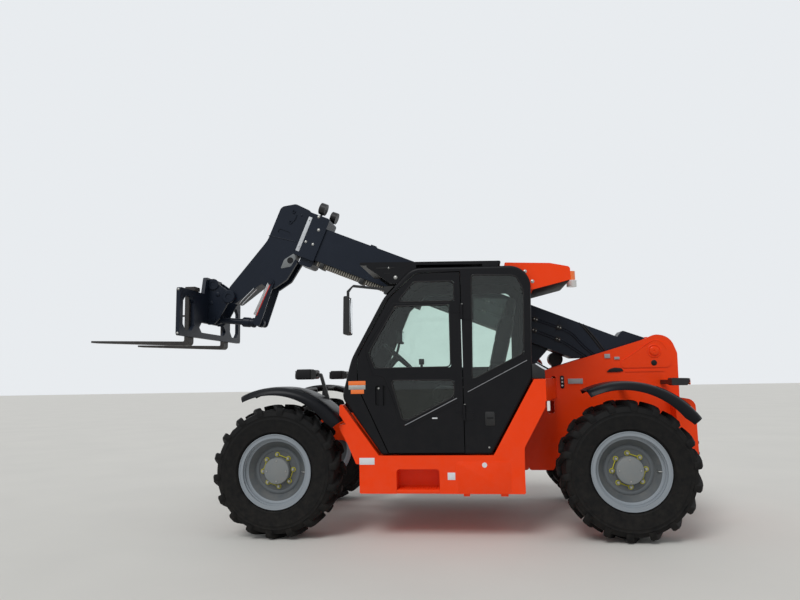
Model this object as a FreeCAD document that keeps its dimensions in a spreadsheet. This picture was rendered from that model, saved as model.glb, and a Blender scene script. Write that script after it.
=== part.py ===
import FreeCAD, Part
import math
import os
from collections import namedtuple

import Sketcher

# Telehandler with a cab on the left, an engine on the right and a telescopic boom between them.
# Axes: X forward, Y to the machine's left, Z up, in millimetres and degrees.
# Places along X are counted from the front axle, and the last step centres the machine on its origin.

Vector = FreeCAD.Vector
Round = namedtuple("Round", "x y radius")

doc = FreeCAD.newDocument("Telehandler")

# Driving dimensions: name, value, what it is
SIZES = [
    ("running_gap", 0.05, "radial clearance of a pin in its bore"),
    ("face_gap", 0.3, "between faces that almost touch"),
    ("work_gap", 6, "between parts that move past each other"),
    ("cut_over", 1, "how far a cut runs past the face that it opens"),
    # wheels
    ("wheelbase", 3080, "front to rear axle"),
    ("tyre_radius", 590, "to the lug tips"),
    ("tyre_width", 410, "over the sidewalls"),
    ("tyre_centre_y", 915, "middle of the tread from the machine's middle"),
    ("tyre_facets", 26, "flat sides of the carcass"),
    ("shoulder_y", 34, "shoulder's width"),
    ("shoulder_drop", 14, "shoulder below the middle of the carcass"),
    ("side_drop", 80, "top of the sidewall below the middle of the carcass"),
    ("bead_swell", 118, "widest part of the sidewall outside the bead"),
    ("lug_height", 38, "lug tip above the carcass"),
    ("lug_count", 18, "lugs on each side of the tread"),
    ("lug_width", 62, "lug across its run"),
    ("lug_inner_y", 12, "inner end from the middle of the tread"),
    ("lug_outer_inset", 4, "outer end inside the sidewall"),
    ("lug_sweep", 105, "how far a lug runs round the tyre"),
    ("lug_root", 30, "lug sunk into the carcass"),
    ("lug_shoulder_y", 60, "lug's sloping end"),
    ("lug_shoulder_drop", 50, "lug's outer end below its tip"),
    ("bead_radius", 306, "tyre inside radius"),
    ("rim_flange_radius", 330, "outer edge of the rim"),
    ("rim_width", 370, "over the rim flanges"),
    ("rim_wall", 11, "rim sheet"),
    ("rim_lip", 15, "flange's foot from the rim's edge"),
    ("rim_seat_end", 50, "inner end of the bead seat from the rim's edge"),
    ("rim_well_start", 85, "start of the well from the rim's edge"),
    ("rim_well_radius", 268, "bottom of the rim well, outside"),
    ("disc_inset", 72, "wheel disc from the tyre's middle, outwards"),
    ("disc_wall", 15, "wheel disc"),
    ("disc_flare", 50, "cone from the disc to the rim, along the axle"),
    ("disc_flare_radius", 213, "where the disc turns into the cone"),
    ("hub_radius", 104, "hub cap"),
    ("hub_out", 128, "hub cap face from the tyre's middle"),
    ("hub_wall", 20, "hub cap's face"),
    ("hub_chamfer", 14, "hub cap's edge"),
    ("hub_in", 20, "hub's inner end from the tyre's middle, inwards"),
    # axles
    ("spindle_radius", 52, "stub axle"),
    ("spindle_inset", 30, "stub axle's end inside the hub cap's face"),
    ("kingpin_y", 760, "kingpin from the machine's middle"),
    ("kingpin_radius", 26, "kingpin"),
    ("knuckle_radius", 72, "steering knuckle"),
    ("knuckle_flange", 84, "flange behind the wheel hub"),
    ("knuckle_half", 98, "half the knuckle's height"),
    ("yoke_wall", 30, "arm of the axle's yoke"),
    ("yoke_back", 40, "back plate of the yoke"),
    ("axle_radius", 82, "axle tube"),
    ("diff_radius", 168, "differential housing"),
    ("diff_half", 190, "half the housing's width"),
    ("diff_slope", 60, "cone beside the housing"),
    ("saddle_top", 800, "top of the saddle on the axle"),
    # chassis
    ("boom_y", -50, "boom's middle plane"),
    ("tower_gap", 370, "between the tower plates"),
    ("tower_wall", 30, "tower plate"),
    ("pin_head", 15, "pin's end outside the tower plate"),
    ("doubler_wall", 8, "plate round the boom pivot"),
    ("rib_wall", 6, "pressed rib"),
    ("rail_low", 475, "underside of the rails"),
    ("belly_wall", 40, "floor between the rails"),
    ("belly_lift", 5, "floor above the rails' underside"),
    ("belly_front", 760, "floor's front end behind the front axle"),
    ("belly_rear", 780, "floor's rear end ahead of the rear axle"),
    # boom
    ("boom_angle", 22.6, "boom above level"),
    ("pivot_back", 480, "boom pivot behind the rear axle"),
    ("pivot_height", 1623, "boom pivot"),
    ("pivot_radius", 45, "boom pivot pin"),
    ("pivot_boss", 92, "boss round the boom pivot"),
    ("boom_width", 300, "outer boom"),
    ("boom_height", 360, "outer boom"),
    ("boom_top", 16, "top of the outer boom above the pivot line"),
    ("boom_length", 3835, "pivot to the outer boom's mouth"),
    ("boom_wall", 10, "boom plate"),
    ("boom_tail", 110, "outer boom behind the pivot"),
    ("boom_tail_round", 60, "corners at the boom's tail"),
    ("boom_taper_round", 80, "corners of the boom's underside"),
    ("boom_taper_start", 700, "where the underside starts to rise to the rear"),
    ("boom_taper_end", 360, "where the underside is level again"),
    ("boom_tail_height", 210, "outer boom at its tail"),
    ("boom_hollow_back", 50, "hollow's rear end behind the pivot's front"),
    ("collar_length", 240, "thick band at the boom's mouth"),
    ("collar_wall", 18, "band's plate"),
    ("collar_top", 130, "band's top above the pivot line"),
    ("collar_round", 30, "band's upper corners"),
    ("slide_gap", 14, "between the outer and inner boom"),
    ("pad_length", 120, "slide pad"),
    ("pad_inset", 50, "slide pad's end from the boom's side"),
    ("inner_tail", 720, "inner boom's rear end from the pivot"),
    ("inner_overlap", 30, "inner boom's tube inside the head"),
    ("inner_bulkhead", 90, "solid end of the tube behind the mouth"),
    ("head_half", 112, "half the width of the boom head"),
    ("head_pin_ahead", 502, "head pin ahead of the boom's mouth"),
    ("head_pin_v", -1051, "head pin across the boom"),
    ("head_pin_radius", 30, "head pin"),
    ("head_pin_end", 14, "head pin outside the coupler"),
    ("head_slot_depth", 8, "recess in the head's side"),
    ("hose_cover_half", 110, "half the hose cover's width"),
    ("boom_step_half", 60, "half the step's width"),
    ("collar_box_half", 130, "half the width of the box under the band"),
    # tilt linkage
    ("rocker_ahead", 134, "rocker pin ahead of the boom's mouth"),
    ("rocker_v", -742, "rocker pin across the boom"),
    ("rocker_length", 455, "rocker, pin to pin"),
    ("rocker_lean", 4.0, "rocker back from square to the boom"),
    ("rocker_wall", 18, "rocker plate"),
    ("rocker_width", 80, "rocker plate"),
    ("rocker_pin_end", 10, "rocker pin outside the rocker"),
    ("bracket_inset", 40, "rocker bracket's plate"),
    ("link_pin_radius", 24, "pins of the tilt link"),
    ("link_radius", 34, "tilt link tube"),
    ("link_eye", 46, "eye of the tilt link"),
    ("link_half", 30, "half the width of the eye"),
    ("coupler_pin_x", 170, "link pin forward of the head pin"),
    ("coupler_pin_drop", 239, "link pin below the head pin"),
    # lift cylinder
    ("lift_pin_u", 1100, "upper pin along the boom"),
    ("lift_pin_v", -520, "upper pin across the boom"),
    ("lift_foot_back", 420, "foot behind the rear axle"),
    ("lift_foot_height", 860, "foot"),
    ("lift_pin_radius", 30, "pins"),
    ("lift_barrel_radius", 68, "tube"),
    ("lift_bore_radius", 58, "inside of the tube"),
    ("lift_rod_radius", 34, "rod"),
    ("lift_eye_radius", 55, "eye on the rod"),
    ("lift_eye_half", 40, "half the width of an eye"),
    ("lift_barrel_length", 932, "foot pin to the tube's mouth"),
    ("lift_rod_length", 1008, "upper pin to the piston's end"),
    ("lift_gland", 58, "gland at the tube's mouth"),
    ("lift_piston", 58, "piston"),
    ("lift_foot_solid", 100, "solid end of the tube from the foot pin"),
    ("ear_foot", 150, "half the ear's length on the boom"),
    ("ear_tip", 62, "half the ear's length at its pin"),
    ("ear_round", 40, "ear's corners"),
    ("ear_wall", 25, "ear that holds a pin"),
    # coupler, carriage and forks, counted from the head pin
    ("coupler_wall", 22, "coupler's side plate"),
    ("coupler_back", 45, "coupler's cross plate"),
    ("back_drop", 119, "cross plate's lower edge below the head pin"),
    ("back_rise", 201, "cross plate's upper edge above the head pin"),
    ("carriage_ahead", 236, "carriage's rear face ahead of the head pin"),
    ("carriage_wall", 40, "carriage plate"),
    ("carriage_width", 1640, "over the fork carriage"),
    ("carriage_drop", 457, "carriage's lower edge below the head pin"),
    ("carriage_rise", 26, "carriage's upper edge above the head pin"),
    ("carriage_round", 30, "carriage's corners"),
    ("window_side", 70, "window from the carriage's end"),
    ("window_width", 260, "window beside the fork"),
    ("window_low", 60, "windows above the lower edge"),
    ("window_high", 70, "windows below the upper edge"),
    ("window_cut", 60, "cut corners of the windows"),
    ("middle_window_side", 460, "middle window from the carriage's end"),
    ("middle_window_height", 110, "middle window"),
    ("middle_window_shoulder", 50, "widest part above the middle window's lower edge"),
    ("notch_half", 60, "half the width of the middle window's notch"),
    ("notch_height", 290, "notch above the middle window's lower edge"),
    ("plate_half", 260, "half the upper plate's width"),
    ("plate_top_half", 200, "half the upper plate's top edge"),
    ("plate_rise", 190, "upper plate above the carriage"),
    ("fork_spacing", 940, "fork to fork"),
    ("fork_width", 125, "fork"),
    ("fork_wall", 45, "fork"),
    ("fork_reach", 1070, "blade's tip from the shank's rear face"),
    ("fork_tip_rise", 30, "blade's tip above its heel"),
    ("fork_tip_wall", 20, "blade's tip"),
    ("fork_drop", 90, "underside of the fork's heel below the carriage"),
    ("fork_hook", 40, "hook over the carriage's edge"),
    ("fork_hook_back", 20, "hook behind the carriage"),
    ("fork_heel_round", 40, "outside of the fork's heel"),
    ("fork_inner_round", 14, "inside of the fork's heel"),
    # cab
    ("cab_inner_y", 185, "cab's inner side"),
    ("cab_outer_y", 1045, "cab's outer side"),
    ("cab_wall", 46, "cab's frame"),
    ("cab_post", 20, "window's edge inside the frame"),
    ("cab_low", 728, "cab's underside"),
    ("cab_floor", 800, "cab's floor"),
    ("cab_mount", 6, "rubber mount under the cab"),
    ("cab_mount_radius", 45, "rubber mount"),
    ("cab_edge", 26, "rounded outer edge of the cab's frame"),
    ("glass_wall", 6, "window glass"),
    ("glass_inset", 4, "side glass below the frame's face"),
    ("door_wall", 40, "door's frame"),
    ("door_line", 1700, "door's hinge line behind the front axle"),
    ("door_glass_inset", 8, "door glass below the door's face"),
    ("door_panel", 4, "raised panel on the door"),
    ("handle_depth", 24, "recess behind the door's handle"),
    ("handle_inset", 4, "handle below the door's face"),
    ("hinge_out", 14, "hinge line outside the door's face"),
    ("hinge_radius", 13, "hinge's barrel"),
    ("hinge_pin_radius", 6, "hinge's pin"),
    ("hinge_half", 67, "half the hinge's height"),
    ("hinge_leaf", 78, "hinge's leaf from its line"),
    ("hinge_leaf_wall", 6, "hinge's leaf"),
    ("upper_hinge", 1980, "middle of the upper hinge"),
    ("lower_hinge", 1092, "middle of the lower hinge"),
    ("seat_half", 230, "half the cushion's width"),
    ("backrest_half", 215, "half the backrest's width"),
    ("headrest_half", 130, "half the headrest's width"),
    ("seat_base_half", 190, "half the seat base's width"),
    ("dash_inner", 60, "dashboard from the cab's inner wall"),
    ("dash_outer", 120, "dashboard from the door's side"),
    ("console_y", 14, "side console from the cab's inner wall"),
    ("console_width", 130, "side console"),
    ("lever_x", -1267, "control lever"),
    ("lever_low", 1340, "foot of the control lever"),
    ("lever_top", 1590, "top of the control lever"),
    ("lever_radius", 13, "control lever"),
    ("knob_radius", 27, "lever's knob"),
    ("knob_height", 56, "lever's knob"),
    ("wheel_ring", 170, "steering wheel's ring"),
    ("wheel_grip", 15, "ring's section"),
    ("wheel_flat", 0.414, "half a flat of the ring's section, as a share of the grip"),
    ("wheel_hub", 40, "steering wheel's hub"),
    ("wheel_spoke", 14, "half a spoke's width"),
    ("wheel_lean", 132, "steering column's direction above forward"),
    ("wheel_x", -1065, "steering wheel's middle"),
    ("wheel_z", 1610, "steering wheel's middle"),
    ("column_radius", 32, "steering column"),
    ("column_length", 340.7, "steering column"),
    # roof
    ("visor_inset", 20, "roof guard from the cab's sides"),
    ("visor_bracket", 12, "roof guard's side plate"),
    ("cover_inset", 60, "rear roof cover from the cab's sides"),
    ("beacon_y", 640, "beacon from the machine's middle"),
    ("beacon_x", -2732, "beacon"),
    ("beacon_low", 2227, "underside of the beacon's base"),
    ("beacon_arm_low", 2270, "underside of the beacon's bracket"),
    ("beacon_arm_half", 30, "half the bracket's width"),
    ("beacon_foot", 10, "beacon's bracket"),
    ("beacon_base", 56, "beacon's base"),
    ("beacon_base_radius", 46, "beacon's base"),
    ("beacon_lens", 90, "beacon's lens"),
    ("beacon_lens_radius", 36, "beacon's lens"),
    # body
    ("sill_inner_y", 420, "sill box's inner side"),
    ("step_depth", 190, "step recess"),
    ("front_plate_width", 120, "panel ahead of the cab"),
    ("apron_low", 1180, "panel behind the cab"),
    ("apron_high", 1372, "panel behind the cab"),
    ("apron_reach", 187, "panel's slant towards the tower"),
    ("sill_arm_front", -900, "front arm of the sill"),
    ("sill_arm_rear", -2100, "rear arm of the sill"),
    ("sill_arm_half", 60, "half the arm's length along the machine"),
    ("sill_arm_low", 500, "sill's arm"),
    ("sill_arm_high", 700, "sill's arm"),
    ("mount_front", -1080, "front mounts of the cab"),
    ("mount_rear", -1820, "rear mounts of the cab"),
    ("mount_inner_y", 520, "inner mounts of the cab"),
    ("mount_outer_y", 960, "outer mounts of the cab"),
    ("hood_outer_y", -1035, "hood's outer side"),
    ("hood_wall", 14, "hood's shell"),
    ("hood_round", 50, "hood's outer edges"),
    ("louvre_count", 9, "slots in the hood"),
    ("louvre_pitch", 45, "slot to slot"),
    ("louvre_height", 22, "slot"),
    ("louvre_low", 700, "lowest slot"),
    ("louvre_rear", -2200, "slot's rear end"),
    ("louvre_front", -1500, "slot's front end"),
    ("engine_inset", 150, "engine from the hood's outer side"),
    ("cleaner_x", -2655, "air cleaner"),
    ("cleaner_z", 1575, "air cleaner"),
    ("cleaner_radius", 76, "air cleaner"),
    ("cleaner_length", 150, "air cleaner"),
    ("cleaner_foot", 45, "half the air cleaner's foot"),
    ("cleaner_out", 5, "air cleaner outside the tower plate"),
    ("cleaner_drop", 135, "foot below the air cleaner's middle"),
    ("weight_back", 780, "rear face of the counterweight behind the rear axle"),
    ("weight_half", 400, "half the counterweight's width"),
    ("hitch_height", 600, "underside of the tow hitch"),
    ("hitch_jaw", 130, "tow hitch, top to bottom"),
    ("hitch_wall", 25, "tow hitch plate"),
    ("hitch_half", 60, "half the width of the tow hitch"),
    ("hitch_back", 30, "tow hitch's foot plate"),
    ("hitch_reach", 75, "tow pin's hole behind the counterweight"),
    ("hitch_end", 45, "tow hitch behind the pin's hole"),
    ("hitch_round", 30, "tow hitch's corners"),
    ("hitch_bore", 16, "tow pin's hole"),
    # fenders, lamps and mirror
    ("fender_radius", 750, "fender's outside about the wheel"),
    ("fender_skin", 10, "fender's skin"),
    ("fender_skirt", 42, "fender's turned down edge"),
    ("fender_inner_y", 705, "fender's inner edge"),
    ("fender_outer_y", 1115, "fender's outer edge"),
    ("fender_round", 34, "fender's outer edge"),
    ("fender_front", 26, "fender ahead of the wheel's top, degrees"),
    ("fender_rear", 54, "fender behind the wheel's top, degrees"),
    ("fender_arm", 25, "fender's arm"),
    ("fender_arm_half", 30, "half the arm's length along the machine"),
    ("fender_arm_x", -130, "arm behind the wheel's middle"),
    ("fender_arm_height", 730, "top of the arm above the axle"),
    ("fender_arm_foot", 860, "lower end of the front arm"),
    ("lamp_inner_y", 640, "front lamp's inner side"),
    ("lamp_outer_y", 780, "front lamp's outer side"),
    ("stalk_inner_y", 716, "front lamp's stalk"),
    ("stalk_outer_y", 746, "front lamp's stalk"),
    ("rear_lamp_inner_y", 430, "rear lamp's inner side"),
    ("rear_lamp_outer_y", 560, "rear lamp's outer side"),
    ("work_lamp_radius", 64, "work lamp"),
    ("work_lamp_half", 30, "half the work lamp's depth"),
    ("work_lamp_foot", 10, "half the work lamp's foot"),
    ("lamp_a_u", 3720, "left work lamp along the boom"),
    ("lamp_a_y", 120, "left work lamp from the boom's middle"),
    ("lamp_a_v", 215, "left work lamp across the boom"),
    ("lamp_b_u", 3640, "right work lamp along the boom"),
    ("lamp_b_y", -110, "right work lamp from the boom's middle"),
    ("lamp_b_v", 200, "right work lamp across the boom"),
    ("mirror_inner_y", 965, "mirror's inner side"),
    ("mirror_outer_y", 1112, "mirror's outer side"),
    ("mirror_arm_y", 1022, "mirror's arm"),
    ("mirror_arm_radius", 11, "mirror's arm"),
    ("mirror_clamp_half", 26, "half the clamp's width"),
    # hose guide
    ("guide_length", 1250, "hose guide under the boom"),
    ("guide_drop", 46, "hose guide under the boom"),
    ("guide_inner", 20, "hose guide's inner side from the boom's middle"),
    ("guide_outer", 130, "hose guide's outer side from the boom's middle"),
    ("guide_end", 150, "guide's end block"),
    ("guide_end_drop", 92, "guide's end block under the boom"),
]

# Kept in a sheet of its own: the shift that centres the machine on its origin
ORIGIN = [
    ("origin_x", 0, "along the machine"),
    ("origin_y", 0, "across the machine"),
]

# Side outlines: along, up, corner radius. A word in place of a number names a driving dimension.
OUTLINES = {
    # from the front axle and the ground
    "rail_front": [(330, 690, 20), (330, 960, 40), (-600, 1050, 60)],
    "rail_under": [(-700, "rail_low", 60), (-440, 780, 60), (190, 780, 40), (230, 690, 20)],
    "cab_side": [
        (-961, "cab_low", 40), (-603, 1235, 120), (-690, 1580, 500), (-1000, 2140, 400),
        (-1262, 2400, 190), (-2326, 2384, 190), (-2300, 1375, 60), (-1930, "cab_low", 40),
    ],
    "cab_room": [
        (-1000, "cab_floor", 30), (-670, 1270, 60), (-740, 1580, 400), (-1040, 2110, 300),
        (-1280, 2345, 140), (-2270, 2330, 140), (-2250, 1395, 40), (-1920, "cab_floor", 30),
    ],
    "door_gap": [
        (-1700, 738, 0), (-1700, 2350, 0), (-1290, 2350, 140), (-1040, 2128, 300),
        (-745, 1600, 200), (-745, 1330, 60), (-1020, 738, 20),
    ],
    "door_side": [
        (-1692, 746, 0), (-1692, 2342, 0), (-1294, 2342, 134), (-1048, 2122, 300),
        (-753, 1598, 192), (-753, 1332, 54), (-1026, 746, 14),
    ],
    "main_window": [
        (-1595, 1490, 20), (-1595, 2052, 20), (-1102, 2052, 20), (-850, 1630, 20), (-910, 1490, 20),
    ],
    "quarter_window": [
        (-1640, 2078, 16), (-1640, 2265, 16), (-1272, 2272, 50), (-1120, 2088, 16),
    ],
    "low_window": [
        (-1620, 1230, 20), (-1620, 1378, 20), (-1052, 1386, 20), (-1150, 1035, 20), (-1195, 1022, 20),
    ],
    "low_panel": [
        (-1660, 1190, 40), (-1660, 1425, 40), (-1020, 1434, 30), (-1136, 985, 40), (-1215, 968, 40),
    ],
    "door_recess": [(-1004, 1160, 18), (-1004, 1338, 18), (-910, 1338, 18), (-910, 1160, 18)],
    "door_handle": [(-978, 1160, 0), (-978, 1338, 0), (-944, 1338, 0), (-944, 1160, 0)],
    "rear_side_window": [
        (-1775, 1372, 20), (-1795, 2318, 20), (-2195, 2298, 90), (-2258, 2160, 60), (-2240, 1600, 20),
    ],
    "front_opening": [
        (-400, 1300, 0), (-400, 2300, 0), (-1240, 2300, 0), (-1130, 2120, 0), (-820, 1560, 0),
        (-760, 1300, 0),
    ],
    "rear_opening": [(-2400, 1480, 0), (-2400, 2240, 0), (-2200, 2240, 0), (-2200, 1480, 0)],
    "rear_pane": [(-2302, 1480, 0), (-2302, 2240, 0), (-2296, 2240, 0), (-2296, 1480, 0)],
    "right_window": [
        (-900, 1500, 40), (-1150, 2080, 60), (-1330, 2250, 60), (-2180, 2240, 60), (-2170, 1500, 40),
    ],
    "windscreen": [
        (-632, 1300, 0), (-702, 1585, 0), (-1012, 2145, 0), (-1170, 2300, 0),
        (-1180, 2300, 0), (-1020, 2141, 0), (-710, 1583, 0), (-640, 1300, 0),
    ],
    "seat_base": [(-1540, "cab_floor", 0), (-1880, "cab_floor", 0), (-1950, 1180, 0), (-1500, 1180, 0)],
    "cushion": [(-1400, 1180, 40), (-1390, 1320, 60), (-1980, 1290, 30), (-2010, 1180, 20)],
    "backrest": [(-2005, 1250, 0), (-1890, 1250, 0), (-2050, 1960, 60), (-2190, 1960, 50)],
    "headrest": [(-2175, 1940, 20), (-2080, 1940, 20), (-2120, 2140, 40), (-2215, 2140, 40)],
    "dashboard": [
        (-1030, "cab_floor", 0), (-815, 1120, 30), (-775, 1330, 40), (-960, 1340, 40),
        (-1010, 1200, 30), (-1080, "cab_floor", 0),
    ],
    "console": [(-1250, "cab_floor", 30), (-1230, 1390, 50), (-1850, 1330, 50), (-1850, "cab_floor", 30)],
    "visor": [(-777, 2440, 12), (-777, 2468, 12), (-2064, 2436, 14), (-2064, 2408, 14)],
    "visor_side": [(-810, 2445, 14), (-1060, 2262, 20), (-1300, 2262, 0), (-1300, 2430, 0)],
    "visor_tail": [(-1900, 2300, 0), (-1900, 2430, 0), (-2040, 2430, 0), (-2040, 2300, 0)],
    "roof_cover": [
        (-2100, 2300, 0), (-2100, 2424, 10), (-2500, 2404, 60), (-2677, 2365, 30), (-2677, 2248, 20),
        (-2345, 2170, 20), (-2200, 2170, 0),
    ],
    "sill_side": [(-760, 395, 14), (-760, "sill_top", 14), (-2206, "sill_top", 0), (-2206, 395, 14)],
    "sill_kick": [
        (-2206, 600, 0), (-1944, "sill_top", 0), (-2314, 1372, 0), (-2413, 1372, 20), (-2402, 1127, 30),
        (-2210, 785, 60),
    ],
    "sill_front": [
        (-583, 1205, 16), (-579, 966, 40), (-655, 823, 60), (-730, 650, 14), (-790, 650, 0),
        (-790, "sill_top", 0), (-935, "sill_top", 0),
    ],
    "fender_notch": [
        (-450, 998, 0), (-640, 998, 0), (-627, 1015, 0), (-593, 1066, 0), (-552, 1112, 0), (-450, 1205, 0),
    ],
    "step": [(-1090, 380, 0), (-1090, 605, 28), (-1468, 605, 28), (-1468, 380, 0)],
    "hood_front": [(-770, 440, 20), (-770, 1150, 80), (-1010, 1350, 120)],
    "hood_room_front": [(-784, 430, 0), (-784, 1144, 70), (-1014, 1336, 110)],
    "engine": [(-1050, 480, 20), (-1050, 1200, 20), (-1900, 1320, 20), (-1900, 480, 20)],
    "front_lamp": [(-95, 1405, 24), (-95, 1468, 24), (-300, 1498, 20), (-300, 1408, 20)],
    "front_stalk": [
        (-285, 1432, 0), (-285, 1462, 0), (-345, 1462, 20), (-440, 1150, 0), (-405, 1150, 0),
        (-325, 1432, 10),
    ],
    "mirror_head": [(-634, 1800, 14), (-640, 2150, 14), (-690, 2150, 20), (-694, 1800, 20)],
    "mirror_arm": [
        (-1090, 2189, 0), (-1090, 2211, 0), (-716, 2263, 20), (-654, 2205, 14), (-654, 2140, 0),
        (-676, 2140, 0), (-676, 2196, 10), (-708, 2241, 12),
    ],
    "mirror_clamp": [(-1000, 2165, 8), (-1000, 2235, 8), (-1130, 2235, 0), (-1130, 2165, 0)],
    # from the rear axle and the ground
    "rail_rear": [(780, 1100, 60), (780, "rail_low", 30)],
    "tower_low": [(780, "rail_low", 30), (780, 1100, 0)],
    "tower_rear": [
        (-690, 1000, 60), (-560, 640, 60), (-400, 790, 60), (400, 790, 60), (540, "rail_low", 30),
    ],
    "tower_slot": [(481, 1277, 20), (525, 1277, 20), (525, 1396, 20), (481, 1396, 20)],
    "tower_window": [(505, 1030, 10), (577, 1030, 10), (577, 1149, 10), (505, 1149, 10)],
    "hood_rear": [(580, 1600, 70), (520, 1300, 60), (750, 1090, 60), (750, 440, 20)],
    "hood_room_rear": [(590, 1584, 60), (536, 1306, 50), (764, 1096, 50), (764, 430, 0)],
    "rear_weight": [(-600, 560, 20), (-600, 1180, 20), (-780, 1150, 80), (-780, 560, 60)],
    "rear_lamp": [(-520, 1290, 15), (-520, 1360, 15), (-684, 1355, 15), (-660, 1290, 15)],
    "rear_lamp_arm": [(-560, 1300, 0), (-560, 1340, 0), (-520, 1340, 0), (-520, 1300, 0)],
    "front_member": [(230, 700, 0), (230, 790, 0), (330, 790, 0), (330, 700, 0)],
    "saddle": [(-110, 790, 0), (-110, 860, 0), (110, 860, 0), (110, 790, 0)],
    "rear_member": [(-595, 800, 0), (-595, 1000, 0), (-505, 1000, 0), (-505, 800, 0)],
    # from the boom's pivot, level
    "tower_top": [
        (1070, -169, 40), (726, -67, 60), (114, 111, 100), (-20, 167, 120), (-160, 143, 150), (-220, -23, 90),
    ],
    "tower_doubler": [(-20, 118, 60), (320, -95, 30), (320, -160, 30), (-160, -160, 60), (-160, 60, 90)],
    "tower_rib": [(-84, -200, 0), (287, -200, 0), (287, -182, 0), (-84, -182, 0)],
    # from the boom's pivot, along and across the boom
    "hose_cover": [(60, 10, 0), (60, 70, 30), (110, 107, 30), (335, 99, 30), (360, 10, 0)],
    "boom_step": [(3030, 10, 0), (3030, 42, 6), (3095, 42, 6), (3095, 10, 0)],
    # from the boom's mouth, along and across the boom
    "boom_head": [
        (6, -8, 0), (6, 150, 40), (205, 168, 80), (351, 84, 70), (351, -320, 260), (555, -960, 60),
        (502, -1117, 66), (415, -1096, 40), (255, -830, 80), (155, -700, 50), (65, -500, 100), (6, -403, 0),
    ],
    "rocker_bracket": [
        (-60, -412, 20), (-20, -650, 60), (85, -800, 46), (190, -800, 46), (300, -760, 20), (60, -400, 0),
    ],
    "collar_box": [(-235, -360, 0), (-235, -440, 40), (-80, -440, 10), (-80, -360, 0)],
    "head_slot": [(130, -205, 26), (130, -149, 26), (280, -149, 26), (280, -205, 26)],
    # from the head pin, level
    "coupler_side": [
        (-59, 11, 50), (161, 171, 40), (236, 226, 40), (236, -300, 0), (170, -300, 50), (112, -239, 50),
        (21, -79, 30),
    ],
}


class Size:
    """A number together with the sheet expression that gives it."""

    def __init__(self, value, text):
        self.value = value
        self.text = text

    def __add__(self, other):
        other = as_size(other)
        return Size(self.value + other.value, f"({self.text} + {other.text})")

    def __sub__(self, other):
        other = as_size(other)
        return Size(self.value - other.value, f"({self.text} - {other.text})")

    def __mul__(self, other):
        other = as_size(other)
        return Size(self.value * other.value, f"({self.text} * {other.text})")

    def __truediv__(self, other):
        other = as_size(other)
        return Size(self.value / other.value, f"({self.text} / {other.text})")

    def __neg__(self):
        return Size(-self.value, f"(0 - {self.text})")

    __radd__ = __add__
    __rmul__ = __mul__

    def __rsub__(self, other):
        return as_size(other) - self


def as_size(number):
    """A plain number as a Size."""
    if isinstance(number, Size):
        return number
    return Size(number, repr(float(number)))


def cosine(angle):
    return Size(math.cos(math.radians(angle.value)), f"cos({angle.text})")


def sine(angle):
    return Size(math.sin(math.radians(angle.value)), f"sin({angle.text})")


class SizeSheet:
    """Named numbers, as cells of a sheet and as attributes here."""

    def __init__(self, label, rows):
        self.label = label
        self.sheet = doc.addObject("Spreadsheet::Sheet", label)
        self.row = 0
        for name, value, meaning in rows:
            self.store(name, value, meaning)

    def store(self, name, value, meaning=""):
        self.row += 1
        self.sheet.set(f"A{self.row}", name)
        self.sheet.set(f"B{self.row}", repr(float(value)))
        self.sheet.set(f"C{self.row}", meaning)
        self.sheet.setAlias(f"B{self.row}", name)
        size = Size(float(value), f"{self.label}.{name}")
        setattr(self, name, size)
        return size

    def restate(self, name, value):
        self.sheet.set(self.sheet.getCellFromAlias(name), repr(value))


S = SizeSheet("Sizes", SIZES)
centre = SizeSheet("Origin", ORIGIN)
S.sill_top = S.cab_low - S.cab_mount


def stored_outline(name):
    """The outline's corners as cells of the sheet."""
    corners = []
    for count, (along, up, radius) in enumerate(OUTLINES[name], start=1):
        label = f"{name}_{count}"
        corners.append((
            S.store(f"{label}_along", along),
            getattr(S, up) if isinstance(up, str) else S.store(f"{label}_up", up),
            S.store(f"{label}_round", radius) if radius else as_size(0),
        ))
    return corners


STORED = {name: stored_outline(name) for name in OUTLINES}


def outline(name, along=0, up=0):
    """A stored outline, moved along and up."""
    return [(x + along, z + up, r) for x, z, r in STORED[name]]


def origin_plane(body, role):
    return [item for item in body.Origin.OriginFeatures if item.Role == role][0]


def new_body(label):
    body = doc.addObject("PartDesign::Body", label)
    body.Label = label
    return body


def fix_point(sketch, shape, end, x, y):
    """Hold one point of the sketch at named distances from its origin."""
    for kind, size in (("DistanceX", x), ("DistanceY", y)):
        index = sketch.addConstraint(Sketcher.Constraint(kind, -1, 1, shape, end, size.value))
        sketch.setExpression(f"Constraints[{index}]", size.text)


def draw_round(sketch, circle):
    x, y, radius = (as_size(number) for number in circle)
    centre = Vector(x.value, y.value, 0)
    shape = sketch.addGeometry(Part.Circle(centre, Vector(0, 0, 1), radius.value), False)
    index = sketch.addConstraint(Sketcher.Constraint("Radius", shape, radius.value))
    sketch.setExpression(f"Constraints[{index}]", radius.text)
    fix_point(sketch, shape, 3, x, y)


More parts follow.
